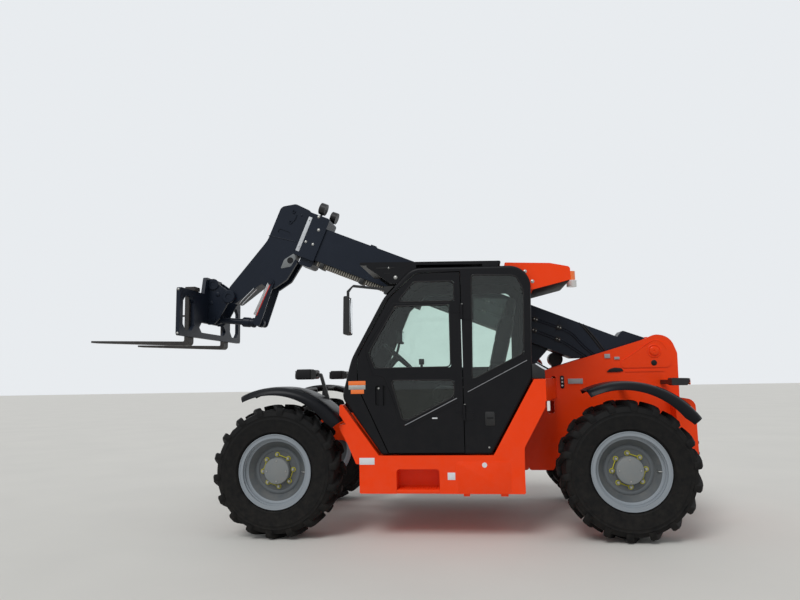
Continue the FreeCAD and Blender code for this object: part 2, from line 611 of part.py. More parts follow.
def draw_corners(sketch, corners):
    """A closed outline of lines, with an arc at each corner that has a radius."""
    rows = [tuple(as_size(number) for number in (list(corner) + [0])[:3]) for corner in corners]
    count = len(rows)
    points = [Vector(x.value, y.value, 0) for x, y, radius in rows]
    cuts = []
    for number in range(count):
        here = points[number]
        back = (points[number - 1] - here).normalize()
        ahead = (points[(number + 1) % count] - here).normalize()
        half_turn = back.getAngle(ahead) / 2
        reach = rows[number][2].value / math.tan(half_turn)
        cuts.append((here + back * reach, here + ahead * reach))
    lines = []
    for number in range(count):
        start, end = cuts[number][1], cuts[(number + 1) % count][0]
        lines.append(sketch.addGeometry(Part.LineSegment(start, end), False))
    for number, (x, y, radius) in enumerate(rows):
        before, after = lines[number - 1], lines[number]
        if not radius.value:
            sketch.addConstraint(Sketcher.Constraint("Coincident", before, 2, after, 1))
            fix_point(sketch, after, 1, x, y)
            continue
        corner = sketch.addGeometry(Part.Point(points[number]), True)
        fix_point(sketch, corner, 1, x, y)
        sketch.addConstraint(Sketcher.Constraint("PointOnObject", corner, 1, before))
        sketch.addConstraint(Sketcher.Constraint("PointOnObject", corner, 1, after))
        start, end = cuts[number]
        back = (points[number] - start).normalize()
        ahead = (end - points[number]).normalize()
        left_turn = back.cross(ahead).z > 0
        side = Vector(-back.y, back.x, 0) if left_turn else Vector(back.y, -back.x, 0)
        centre = start + side * radius.value
        angles = [math.atan2(spot.y - centre.y, spot.x - centre.x) for spot in (start, end)]
        if not left_turn:
            angles.reverse()
        circle = Part.Circle(centre, Vector(0, 0, 1), radius.value)
        arc = sketch.addGeometry(Part.ArcOfCircle(circle, *angles), False)
        first, last = (1, 2) if left_turn else (2, 1)
        sketch.addConstraint(Sketcher.Constraint("Tangent", before, 2, arc, first))
        sketch.addConstraint(Sketcher.Constraint("Tangent", arc, last, after, 1))
        index = sketch.addConstraint(Sketcher.Constraint("Radius", arc, radius.value))
        sketch.setExpression(f"Constraints[{index}]", radius.text)


def new_sketch(body, plane, offset, wires):
    """A sketch on one of the body's planes, offset along the plane's normal."""
    sketch = body.newObject("Sketcher::SketchObject", f"{body.Name}_sketch")
    sketch.AttachmentSupport = [(origin_plane(body, f"{plane}_Plane"), "")]
    sketch.MapMode = "FlatFace"
    sketch.AttachmentOffset.Base.z = offset.value
    sketch.setExpression("AttachmentOffset.Base.z", offset.text)
    for wire in wires:
        if isinstance(wire, Round):
            draw_round(sketch, wire)
        else:
            draw_corners(sketch, wire)
    return sketch


def pad(body, plane, low, high, *wires):
    """Material between two distances from the plane; inner wires are holes."""
    low, high = as_size(low), as_size(high)
    offset = -high if plane == "XZ" else low
    feature = body.newObject("PartDesign::Pad", f"{body.Name}_pad")
    feature.Profile = new_sketch(body, plane, offset, wires)
    feature.setExpression("Length", (high - low).text)
    body.Tip = feature
    return feature


def pocket(body, plane, low, high, *wires):
    """Material taken away between two distances from the plane."""
    low, high = as_size(low), as_size(high)
    offset = -low if plane == "XZ" else high
    feature = body.newObject("PartDesign::Pocket", f"{body.Name}_pocket")
    feature.Profile = new_sketch(body, plane, offset, wires)
    feature.Type = "Length"
    feature.setExpression("Length", (high - low).text)
    body.Tip = feature
    return feature


def turn(body, plane, *wires, ahead=None, behind=None):
    """Material turned about the sketch's level axis, all the way or between two angles."""
    feature = body.newObject("PartDesign::Revolution", f"{body.Name}_turned")
    feature.Profile = new_sketch(body, plane, as_size(0), wires)
    feature.ReferenceAxis = (feature.Profile[0], ["H_Axis"])
    if ahead is None:
        feature.Angle = 360
    else:
        feature.Type = "TwoAngles"
        feature.setExpression("Angle", ahead.text)
        feature.setExpression("Angle2", behind.text)
    body.Tip = feature
    return feature


def round_edges(body, feature, y, radius):
    """Round all edges that lie in one plane across the machine."""
    doc.recompute()
    names = []
    for count, edge in enumerate(feature.Shape.Edges, start=1):
        if all(abs(vertex.Y - y.value) < S.running_gap.value for vertex in edge.Vertexes):
            names.append(f"Edge{count}")
    fillet = body.newObject("PartDesign::Fillet", f"{body.Name}_rounded")
    fillet.Base = (feature, names)
    fillet.setExpression("Radius", radius.text)
    body.Tip = fillet


def box(x_low, x_high, z_low, z_high):
    """A four-cornered outline."""
    return [(x_low, z_low), (x_high, z_low), (x_high, z_high), (x_low, z_high)]


def place(item, x=0, y=0, z=0, lift=None):
    """Put a sub-part in the machine's frame; lift tips its X axis up."""
    item.setExpression("Placement.Base.x", (x + centre.origin_x).text)
    item.setExpression("Placement.Base.y", (y + centre.origin_y).text)
    item.setExpression("Placement.Base.z", as_size(z).text)
    if lift is not None:
        item.Placement.Rotation = FreeCAD.Rotation(Vector(0, -1, 0), lift.value)
        item.setExpression("Placement.Rotation.Angle", lift.text)


sub_parts = []


def keep(item, **where):
    place(item, **where)
    sub_parts.append(item)
    return item


axis_notes = []


def note_axis(name, x, y, z):
    axis_notes.append((name, as_size(x), as_size(y), as_size(z)))


pivot_x = -(S.wheelbase + S.pivot_back)
axles = {"front": as_size(0), "rear": -S.wheelbase}
sides = {"left": 1, "right": -1}
tower_left = S.boom_y + S.tower_gap / 2
tower_right = S.boom_y - S.tower_gap / 2
tower_plates = [
    (tower_left, tower_left + S.tower_wall),
    (tower_right - S.tower_wall, tower_right),
]
room_low = S.cab_inner_y + S.cab_wall
room_high = S.cab_outer_y - S.cab_wall
room_middle = (room_low + room_high) / 2


def boom_point(u, v):
    """A point of the boom's side view in the machine's frame, at rest."""
    return (
        pivot_x + u * cosine(S.boom_angle) - v * sine(S.boom_angle),
        S.pivot_height + u * sine(S.boom_angle) + v * cosine(S.boom_angle),
    )


def run_between(name, start, end):
    """Length and slope of a member between two pins, stored in the sheet."""
    run = ((end[0] - start[0]).value, (end[1] - start[1]).value)
    return (
        S.store(f"{name}_length", math.hypot(*run), "pin to pin"),
        S.store(f"{name}_angle", math.degrees(math.atan2(run[1], run[0])), "above level"),
    )


# Pins of the linkages at rest
head_pin = boom_point(S.boom_length + S.head_pin_ahead, S.head_pin_v)
rocker_pin = boom_point(S.boom_length + S.rocker_ahead, S.rocker_v)
rocker_swing = S.boom_angle - S.rocker_lean
link_rear_pin = (
    rocker_pin[0] + S.rocker_length * sine(rocker_swing),
    rocker_pin[1] - S.rocker_length * cosine(rocker_swing),
)
link_front_pin = (head_pin[0] + S.coupler_pin_x, head_pin[1] - S.coupler_pin_drop)
link_length, link_angle = run_between("link", link_rear_pin, link_front_pin)
lift_foot = (-(S.wheelbase + S.lift_foot_back), S.lift_foot_height)
lift_head = boom_point(S.lift_pin_u, S.lift_pin_v)
lift_angle = run_between("lift", lift_foot, lift_head)[1]
doc.recompute()


def span(side, near, far):
    """A pair of Y distances mirrored to one side, lowest first."""
    near, far = as_size(near), as_size(far)
    return (near, far) if side > 0 else (-far, -near)


def plate_outside(side):
    """Outer face of the tower plate on one side, away from the machine's middle."""
    return S.tower_gap / 2 + S.tower_wall + side * S.boom_y


def tower_side():
    rear = -S.wheelbase
    top = outline("tower_top", pivot_x, S.pivot_height)
    return outline("tower_low", rear) + top + outline("tower_rear", rear)


def make_chassis():
    body = new_body("chassis_frame")
    rear = -S.wheelbase
    rail = outline("rail_front") + outline("rail_rear", rear) + outline("rail_under")
    for low, high in tower_plates:
        pad(body, "XZ", low, high, rail)
        pad(body, "XZ", low, high, tower_side())
    belly_low = S.rail_low + S.belly_lift
    cross_members = [
        outline("front_member"),
        outline("rear_member", rear),
        box(rear + S.belly_rear, -S.belly_front, belly_low, belly_low + S.belly_wall),
    ]
    for axle_x in axles.values():
        cross_members.append(outline("saddle", axle_x))
        seat_low = S.tyre_radius + S.diff_radius + S.face_gap
        cross_members.append(box(axle_x - S.axle_radius, axle_x + S.axle_radius, seat_low, S.saddle_top))
    for corners in cross_members:
        pad(body, "XZ", tower_right, tower_left, corners)
    pin_low = tower_right - S.tower_wall - S.pin_head
    pin_high = tower_left + S.tower_wall + S.pin_head
    for x, z, radius in (
        (*lift_foot, S.lift_pin_radius),
        (pivot_x, S.pivot_height, S.pivot_radius),
    ):
        pad(body, "XZ", pin_low, pin_high, Round(x, z, radius))
    boss = Round(pivot_x, S.pivot_height, S.pivot_boss)
    for side in sides.values():
        near, far = span(side, S.boom_width / 2 + S.work_gap, S.tower_gap / 2)
        pad(body, "XZ", S.boom_y + near, S.boom_y + far, boss)
    doubler = outline("tower_doubler", pivot_x, S.pivot_height)
    rib = outline("tower_rib", pivot_x, S.pivot_height)
    for side, face in ((1, tower_left + S.tower_wall), (-1, tower_right - S.tower_wall)):
        for shape, wall in ((doubler, S.doubler_wall), (rib, S.rib_wall)):
            low, high = (face, face + wall) if side > 0 else (face - wall, face)
            pad(body, "XZ", low, high, shape)
    for name in ("tower_slot", "tower_window"):
        for low, high in tower_plates:
            pocket(body, "XZ", low - S.cut_over, high + S.cut_over, outline(name, rear))
    keep(body)


def make_axle(name, axle_x):
    body = new_body(f"{name}_axle")
    yoke_y = S.kingpin_y - S.knuckle_radius - S.work_gap
    cone_y = S.diff_half + S.diff_slope
    turn(body, "YZ", [
        (-yoke_y, 0), (-yoke_y, S.axle_radius), (-cone_y, S.axle_radius),
        (-S.diff_half, S.diff_radius), (S.diff_half, S.diff_radius),
        (cone_y, S.axle_radius), (yoke_y, S.axle_radius), (yoke_y, 0),
    ])
    arm_low = S.knuckle_half + S.work_gap
    arm_high = arm_low + S.yoke_wall
    for side in sides.values():
        low, high = span(side, yoke_y - S.yoke_back, yoke_y)
        pad(body, "XY", -arm_high, arm_high, box(-S.axle_radius, S.axle_radius, low, high))
        near, far = span(side, yoke_y - S.yoke_back / 2, S.kingpin_y)
        for low, high in ((arm_low, arm_high), (-arm_high, -arm_low)):
            pad(body, "XY", low, high, box(-S.knuckle_radius, S.knuckle_radius, near, far))
            pad(body, "XY", low, high, Round(0, S.kingpin_y * side, S.knuckle_radius))
            bore = Round(0, S.kingpin_y * side, S.kingpin_radius + S.running_gap)
            pocket(body, "XY", low - S.cut_over, high + S.cut_over, bore)
    keep(body, x=axle_x, z=S.tyre_radius)


def make_knuckle(name, axle_x, side):
    body = new_body(f"{name}_knuckle")
    pin_half = S.knuckle_half + S.work_gap + S.yoke_wall
    pad(body, "XY", -S.knuckle_half, S.knuckle_half, Round(0, 0, S.knuckle_radius))
    pad(body, "XY", -pin_half, pin_half, Round(0, 0, S.kingpin_radius))
    spindle_out = S.tyre_centre_y + S.hub_out - S.spindle_inset - S.kingpin_y
    shoulder = S.tyre_centre_y - S.hub_in - S.work_gap - S.kingpin_y
    for far, radius in ((spindle_out, S.spindle_radius), (shoulder, S.knuckle_flange)):
        low, high = span(side, 0, far)
        pad(body, "XZ", low, high, Round(0, 0, radius))
    keep(body, x=axle_x, y=S.kingpin_y * side, z=S.tyre_radius)


def make_rim(name, axle_x, side):
    """Rim, disc and hub cap, turned about the axle; local Y points out of the wheel."""
    body = new_body(f"{name}_rim")
    out = S.rim_width / 2
    wall = S.rim_wall
    bore = S.spindle_radius + S.running_gap
    disc_in = S.disc_inset - S.disc_wall
    well = S.rim_well_radius
    seat = S.bead_radius - S.face_gap
    lip = out - S.rim_lip
    turn(body, "YZ", [
        (-out, S.rim_flange_radius), (-out, seat - wall), (-out + S.rim_seat_end, seat - wall),
        (-out + S.rim_well_start, well - wall), (disc_in, well - wall), (disc_in, S.hub_radius),
        (-S.hub_in, S.hub_radius), (-S.hub_in, bore), (S.hub_out - S.hub_wall, bore),
        (S.hub_out - S.hub_wall, 0), (S.hub_out, 0), (S.hub_out, S.hub_radius - S.hub_chamfer),
        (S.hub_out - S.hub_chamfer, S.hub_radius), (S.disc_inset, S.hub_radius),
        (S.disc_inset, S.disc_flare_radius), (S.disc_inset + S.disc_flare, well - wall),
        (out - S.rim_seat_end, seat - wall), (out, seat - wall), (out, S.rim_flange_radius),
        (lip, S.rim_flange_radius), (lip, seat), (out - S.rim_seat_end, seat),
        (out - S.rim_well_start, well), (-out + S.rim_well_start, well), (-out + S.rim_seat_end, seat),
        (-lip, seat), (-lip, S.rim_flange_radius),
    ])
    keep(body, x=axle_x, y=S.tyre_centre_y * side, z=S.tyre_radius)
    if side < 0:
        body.Placement.Rotation = FreeCAD.Rotation(Vector(0, 0, 1), 180)


def wheel_ring(section, count):
    """A ring of flat sides about the Y axis, from rows of distance along it and radius."""
    pitch = 2 * math.pi / count

    def corner(row, number):
        y, radius = row
        turned = number * pitch
        return Vector(radius * math.sin(turned), y, radius * math.cos(turned))

    faces = []
    for number in range(count):
        for first, second in zip(section, section[1:] + section[:1]):
            rows = ((first, 0), (first, 1), (second, 1), (second, 0))
            quad = [corner(row, number + step) for row, step in rows]
            faces.append(Part.Face(Part.makePolygon(quad + quad[:1])))
    ring = Part.Solid(Part.Shell(faces))
    if ring.Volume < 0:
        ring.reverse()
    return ring


def lug_shape(side):
    """One flat-topped lug that runs slanting over the tread and slopes down at its outer end."""
    carcass = (S.tyre_radius - S.lug_height).value
    half = S.tyre_width.value / 2
    inner, outer = S.lug_inner_y.value, half - S.lug_outer_inset.value
    across = S.lug_width.value / 2
    reach = S.lug_sweep.value / 2
    tip = math.sqrt(S.tyre_radius.value ** 2 - (reach + across) ** 2)
    low = carcass - S.lug_root.value
    corners = [
        Vector(reach - across, inner * side, 0), Vector(reach + across, inner * side, 0),
        Vector(across - reach, outer * side, 0), Vector(-across - reach, outer * side, 0),
    ]
    bar = Part.Face(Part.makePolygon(corners + corners[:1])).extrude(Vector(0, 0, tip))
    slope_y = outer - S.lug_shoulder_y.value
    section = [
        Vector(-half, 0, low), Vector(-half, slope_y * side, low), Vector(-half, outer * side, low),
        Vector(-half, outer * side, tip - S.lug_shoulder_drop.value), Vector(-half, slope_y * side, tip),
        Vector(-half, 0, tip), Vector(-half, 0, low),
    ]
    return bar.common(Part.Face(Part.makePolygon(section)).extrude(Vector(2 * half, 0, 0)))


def tyre_shape():
    carcass = (S.tyre_radius - S.lug_height).value
    half = S.tyre_width.value / 2
    count = round(S.tyre_facets.value)
    seat = S.bead_radius.value / math.cos(math.pi / count)
    rim = (S.rim_width / 2 - S.rim_lip - S.face_gap).value
    flange = (S.rim_flange_radius + S.face_gap).value / math.cos(math.pi / count)
    shoulder = half - S.shoulder_y.value
    swell = seat + S.bead_swell.value
    right_half = [
        (-rim, seat), (-rim, flange), (-half, swell), (-half, carcass - S.side_drop.value),
        (-shoulder, carcass - S.shoulder_drop.value),
    ]
    left_half = [(-y, radius) for y, radius in reversed(right_half)]
    ring = wheel_ring(right_half + [(0, carcass)] + left_half, count)
    lug_count = round(S.lug_count.value)
    pitch = 360 / lug_count
    lugs = []
    for side, start in ((1, 0), (-1, pitch / 2)):
        lug = lug_shape(side)
        for number in range(lug_count):
            copy = lug.copy()
            copy.rotate(Vector(0, 0, 0), Vector(0, 1, 0), start + number * pitch)
            lugs.append(copy)
    return ring.fuse(lugs).removeSplitter()


def make_tyres():
    shape = tyre_shape()
    for end, axle_x in axles.items():
        for name, side in sides.items():
            tyre = doc.addObject("Part::Feature", f"{end}_{name}_tyre")
            tyre.Shape = shape.copy()
            keep(tyre, x=axle_x, y=S.tyre_centre_y * side, z=S.tyre_radius)


def make_sill():
    body = new_body("left_sill")
    pad(body, "XZ", S.sill_inner_y, S.cab_outer_y, outline("sill_side"))
    pad(body, "XZ", S.sill_inner_y, S.cab_outer_y, outline("sill_kick"))
    plate_low = S.cab_outer_y - S.front_plate_width
    pad(body, "XZ", plate_low, S.cab_outer_y, outline("sill_front"))
    pocket(body, "XZ", plate_low - S.cut_over, S.cab_outer_y + S.cut_over, outline("fender_notch"))
    near_x, far_x = (row[0] for row in STORED["sill_kick"][2:4])
    plate, outside = tower_left + S.tower_wall, S.cab_outer_y
    pad(body, "XY", S.apron_low, S.apron_high, [
        (near_x, outside), (far_x, outside), (far_x - S.apron_reach, plate), (near_x, plate),
    ])
    pocket(body, "XZ", S.cab_outer_y - S.step_depth, S.cab_outer_y, outline("step"))
    for x in (S.sill_arm_front, S.sill_arm_rear):
        arm = box(x - S.sill_arm_half, x + S.sill_arm_half, S.sill_arm_low, S.sill_arm_high)
        pad(body, "XZ", plate, S.sill_inner_y, arm)
    for x in (S.mount_front, S.mount_rear):
        for y in (S.mount_inner_y, S.mount_outer_y):
            pad(body, "XY", S.sill_top, S.cab_low, Round(x, y, S.cab_mount_radius))
    keep(body)


def make_engine_side():
    hood = new_body("engine_hood")
    inner_y = tower_right - S.tower_wall
    rear = -S.wheelbase
    prism = pad(hood, "XZ", S.hood_outer_y, inner_y, outline("hood_front") + outline("hood_rear", rear))
    round_edges(hood, prism, S.hood_outer_y, S.hood_round)
    room = outline("hood_room_front") + outline("hood_room_rear", rear)
    pocket(hood, "XZ", S.hood_outer_y + S.hood_wall, inner_y + S.cut_over, room)
    for number in range(round(S.louvre_count.value)):
        z = S.louvre_low + number * S.louvre_pitch
        slot = box(S.louvre_rear, S.louvre_front, z, z + S.louvre_height)
        pocket(hood, "XZ", S.hood_outer_y - S.cut_over, S.hood_outer_y + S.hood_wall + S.cut_over, slot)
    keep(hood)
    engine = new_body("engine_block")
    pad(engine, "XZ", S.hood_outer_y + S.engine_inset, inner_y, outline("engine"))
    keep(engine)
    cleaner = new_body("exhaust_and_intake")
    plate = tower_right - S.tower_wall
    pad(cleaner, "XZ", plate - S.cleaner_out - S.cleaner_length, plate - S.cleaner_out,
        Round(S.cleaner_x, S.cleaner_z, S.cleaner_radius))
    foot = box(S.cleaner_x - S.cleaner_foot, S.cleaner_x + S.cleaner_foot,
               S.cleaner_z - S.cleaner_drop, S.cleaner_z)
    pad(cleaner, "XZ", plate - S.cleaner_foot, plate, foot)
    keep(cleaner)


def make_rear_weight():
    body = new_body("counterweight")
    y_low, y_high = S.boom_y - S.weight_half, S.boom_y + S.weight_half
    pad(body, "XZ", y_low, y_high, outline("rear_weight", along=-S.wheelbase))
    for low, high in tower_plates:
        pocket(body, "XZ", low, high, tower_side())
    keep(body)
    hitch = new_body("tow_hitch")
    face = -S.wheelbase - S.weight_back
    bore_x = face - S.hitch_reach
    tip_x = bore_x - S.hitch_end
    jaw_low, jaw_high = S.boom_y - S.hitch_half, S.boom_y + S.hitch_half
    for low in (S.hitch_height, S.hitch_height + S.hitch_jaw - S.hitch_wall):
        pad(hitch, "XY", low, low + S.hitch_wall, [
            (tip_x, jaw_low, S.hitch_round), (face, jaw_low),
            (face, jaw_high), (tip_x, jaw_high, S.hitch_round),
        ], Round(bore_x, S.boom_y, S.hitch_bore))
    foot = box(face - S.hitch_back, face, jaw_low, jaw_high)
    pad(hitch, "XY", S.hitch_height, S.hitch_height + S.hitch_jaw, foot)
    note_axis("hitch bore", bore_x, S.boom_y, S.hitch_height + S.hitch_jaw / 2)
    keep(hitch)


def make_cab():
    through_low, through_high = room_high - S.cut_over, S.cab_outer_y + S.cut_over
    body = new_body("cab_frame")
    prism = pad(body, "XZ", S.cab_inner_y, S.cab_outer_y, outline("cab_side"))
    round_edges(body, prism, S.cab_outer_y, S.cab_edge)
    pocket(body, "XZ", room_low, room_high, outline("cab_room"))
    for name in ("door_gap", "rear_side_window"):
        pocket(body, "XZ", through_low, through_high, outline(name))
    pocket(body, "XZ", S.cab_inner_y - S.cut_over, room_low + S.cut_over, outline("right_window"))
    for name in ("front_opening", "rear_opening"):
        pocket(body, "XZ", room_low + S.cab_post, room_high - S.cab_post, outline(name))
    hinge_y = S.cab_outer_y + S.hinge_out
    for middle in (S.upper_hinge, S.lower_hinge):
        leaf = box(-S.door_line - S.hinge_leaf, -S.door_line, middle - S.hinge_half, middle)
        pad(body, "XZ", S.cab_outer_y, S.cab_outer_y + S.hinge_leaf_wall, leaf)
        pad(body, "XY", middle - S.hinge_half, middle, Round(-S.door_line, hinge_y, S.hinge_radius))
        pad(body, "XY", middle, middle + S.hinge_half, Round(-S.door_line, hinge_y, S.hinge_pin_radius))
    keep(body)
    glass = new_body("cab_glass")
    pane_high = S.cab_outer_y - S.glass_inset
    pane_low = S.cab_inner_y + S.glass_inset
    pad(glass, "XZ", pane_high - S.glass_wall, pane_high, outline("rear_side_window"))
    pad(glass, "XZ", pane_low, pane_low + S.glass_wall, outline("right_window"))
    for name in ("windscreen", "rear_pane"):
        pad(glass, "XZ", room_low + S.cab_post, room_high - S.cab_post, outline(name))
    keep(glass)


def make_roof():
    visor = new_body("roof_visor")
    low, high = S.cab_inner_y + S.visor_inset, S.cab_outer_y - S.visor_inset
    pad(visor, "XZ", low, high, outline("visor"))
    for name in ("visor_side", "visor_tail"):
        pad(visor, "XZ", low, low + S.visor_bracket, outline(name))
        pad(visor, "XZ", high - S.visor_bracket, high, outline(name))
    pocket(visor, "XZ", low - S.cut_over, high + S.cut_over, outline("cab_side", S.face_gap, S.face_gap))
    keep(visor)
    cover = new_body("rear_roof_cover")
    low, high = S.cab_inner_y + S.cover_inset, S.cab_outer_y - S.cover_inset
    pad(cover, "XZ", low, high, outline("roof_cover"))
    pocket(cover, "XZ", low - S.cut_over, high + S.cut_over, outline("cab_side", -S.face_gap, S.face_gap))
    keep(cover)
    beacon = new_body("beacon")
    lens_low = S.beacon_low + S.beacon_base
    pad(beacon, "XY", S.beacon_low, lens_low, Round(S.beacon_x, S.beacon_y, S.beacon_base_radius))
    pad(beacon, "XY", lens_low, lens_low + S.beacon_lens, Round(S.beacon_x, S.beacon_y, S.beacon_lens_radius))
    rear_face = STORED["roof_cover"][3][0]
    arm = box(S.beacon_x, rear_face, S.beacon_y - S.beacon_arm_half, S.beacon_y + S.beacon_arm_half)
    pad(beacon, "XY", S.beacon_arm_low, S.beacon_arm_low + S.beacon_foot, arm)
    keep(beacon)


def make_door():
    frame = new_body("door_frame")
    low, high = S.cab_outer_y - S.door_wall, S.cab_outer_y
    windows = [outline(name) for name in ("main_window", "quarter_window", "low_window")]
    pad(frame, "XZ", low, high, outline("door_side"), *windows)
    pad(frame, "XZ", high - S.cut_over, high + S.door_panel, outline("low_panel"), outline("low_window"))
    recess_low = high - S.handle_depth
    pocket(frame, "XZ", recess_low, high + S.cut_over, outline("door_recess"))
    pad(frame, "XZ", recess_low - S.cut_over, high - S.handle_inset, outline("door_handle"))
    hinge_y = high + S.hinge_out
    for middle in (S.upper_hinge, S.lower_hinge):
        leaf_low, leaf_high = middle + S.face_gap, middle + S.hinge_half
        leaf = box(-S.door_line, S.hinge_leaf - S.door_line, leaf_low, leaf_high)
        pad(frame, "XZ", high, high + S.hinge_leaf_wall, leaf)
        pad(frame, "XY", leaf_low, leaf_high, Round(-S.door_line, hinge_y, S.hinge_radius))
        bore = Round(-S.door_line, hinge_y, S.hinge_pin_radius + S.running_gap)
        pocket(frame, "XY", leaf_low - S.cut_over, leaf_high + S.cut_over, bore)
    keep(frame)
    glass = new_body("door_glass")
    pane = high - S.door_glass_inset
    for corners in windows:
        pad(glass, "XZ", pane - S.glass_wall, pane, corners)
    keep(glass)


def make_cab_inside():
    base = new_body("seat_base")
    pad(base, "XZ", room_middle - S.seat_base_half, room_middle + S.seat_base_half, outline("seat_base"))
    keep(base)
    soft = new_body("seat_cushions")
    for name, half in (
        ("cushion", S.seat_half),
        ("backrest", S.backrest_half),
        ("headrest", S.headrest_half),
    ):
        pad(soft, "XZ", room_middle - half, room_middle + half, outline(name))
    keep(soft)
    dash = new_body("dashboard")
    pad(dash, "XZ", room_low + S.dash_inner, room_high - S.dash_outer, outline("dashboard"))
    console_low = room_low + S.console_y
    console_high = console_low + S.console_width
    pad(dash, "XZ", console_low, console_high, outline("console"))
    lever_y = (console_low + console_high) / 2
    pad(dash, "XY", S.lever_low, S.lever_top, Round(S.lever_x, lever_y, S.lever_radius))
    pad(dash, "XY", S.lever_top - S.knob_height, S.lever_top, Round(S.lever_x, lever_y, S.knob_radius))
    keep(dash)
    wheel = new_body("steering_wheel")
    grip, flat = S.wheel_grip, S.wheel_grip * S.wheel_flat
    ring = S.wheel_ring
    turn(wheel, "XY", [
        (-grip, ring - flat), (-flat, ring - grip), (flat, ring - grip), (grip, ring - flat),
        (grip, ring + flat), (flat, ring + grip), (-flat, ring + grip), (-grip, ring + flat),
    ])
    turn(wheel, "XY", [
        (-S.column_length, 0), (-S.column_length, S.column_radius), (-S.wheel_hub, S.column_radius),
        (0, S.wheel_hub), (grip, S.wheel_hub), (grip, 0),
    ])
    spoke = S.wheel_spoke
    for corners in (box(-ring, ring, -spoke, spoke), box(-spoke, spoke, -ring, 0)):
        pad(wheel, "YZ", -flat, flat, corners)
    keep(wheel, x=S.wheel_x, y=room_middle, z=S.wheel_z, lift=S.wheel_lean)


def make_lights_and_mirror():
    mirror = new_body("mirror")
    pad(mirror, "XZ", S.mirror_inner_y, S.mirror_outer_y, outline("mirror_head"))
    for name, half in (("mirror_arm", S.mirror_arm_radius), ("mirror_clamp", S.mirror_clamp_half)):
        pad(mirror, "XZ", S.mirror_arm_y - half, S.mirror_arm_y + half, outline(name))
    pocket(mirror, "XZ", S.cab_inner_y, S.mirror_outer_y, outline("cab_side", S.face_gap, S.face_gap))
    keep(mirror)
    lamps = new_body("road_lamps")
    over_fender = Round(axles["front"], S.tyre_radius, S.fender_radius + S.face_gap)
    front, rear = axles["front"], axles["rear"]
    for side in sides.values():
        low, high = span(side, S.stalk_inner_y, S.stalk_outer_y)
        pad(lamps, "XZ", low, high, outline("front_stalk"))
        pocket(lamps, "XZ", low - S.cut_over, high + S.cut_over, over_fender)
        arm_end = S.rear_lamp_inner_y + S.cut_over
        for name, axle_x, near, far in (
            ("front_lamp", front, S.lamp_inner_y, S.lamp_outer_y),
            ("rear_lamp", rear, S.rear_lamp_inner_y, S.rear_lamp_outer_y),
            ("rear_lamp_arm", rear, plate_outside(side), arm_end),
        ):
            pad(lamps, "XZ", *span(side, near, far), outline(name, axle_x))
    keep(lamps)


def make_fenders():
    top, inside = S.fender_radius, S.fender_radius - S.fender_skin
    edge = S.fender_radius - S.fender_skirt
    for end, axle_x in axles.items():
        body = new_body(f"{end}_fenders")
        for side in sides.values():
            inner, outer = S.fender_inner_y * side, S.fender_outer_y * side
            inner_face = inner + S.fender_skin * side
            outer_face = outer - S.fender_skin * side
            turn(body, "YZ", [
                (inner, edge), (inner, top), (outer, top, S.fender_round), (outer, edge),
                (outer_face, edge), (outer_face, inside, S.fender_round - S.fender_skin),
                (inner_face, inside), (inner_face, edge),
            ], ahead=S.fender_front, behind=S.fender_rear)
            x_low, x_high = S.fender_arm_x - S.fender_arm_half, S.fender_arm_x + S.fender_arm_half
            arm_high = S.fender_arm_height
            arm_low = arm_high - S.fender_arm
            inner_end = plate_outside(side)
            pad(body, "XZ", *span(side, inner_end, S.fender_inner_y + S.fender_skin),
                box(x_low, x_high, arm_low, arm_high))
            if end == "front":
                leg = box(x_low, x_high, S.fender_arm_foot - S.tyre_radius, arm_high)
                pad(body, "XZ", *span(side, inner_end, inner_end + S.fender_arm), leg)
        keep(body, x=axle_x, z=S.tyre_radius)


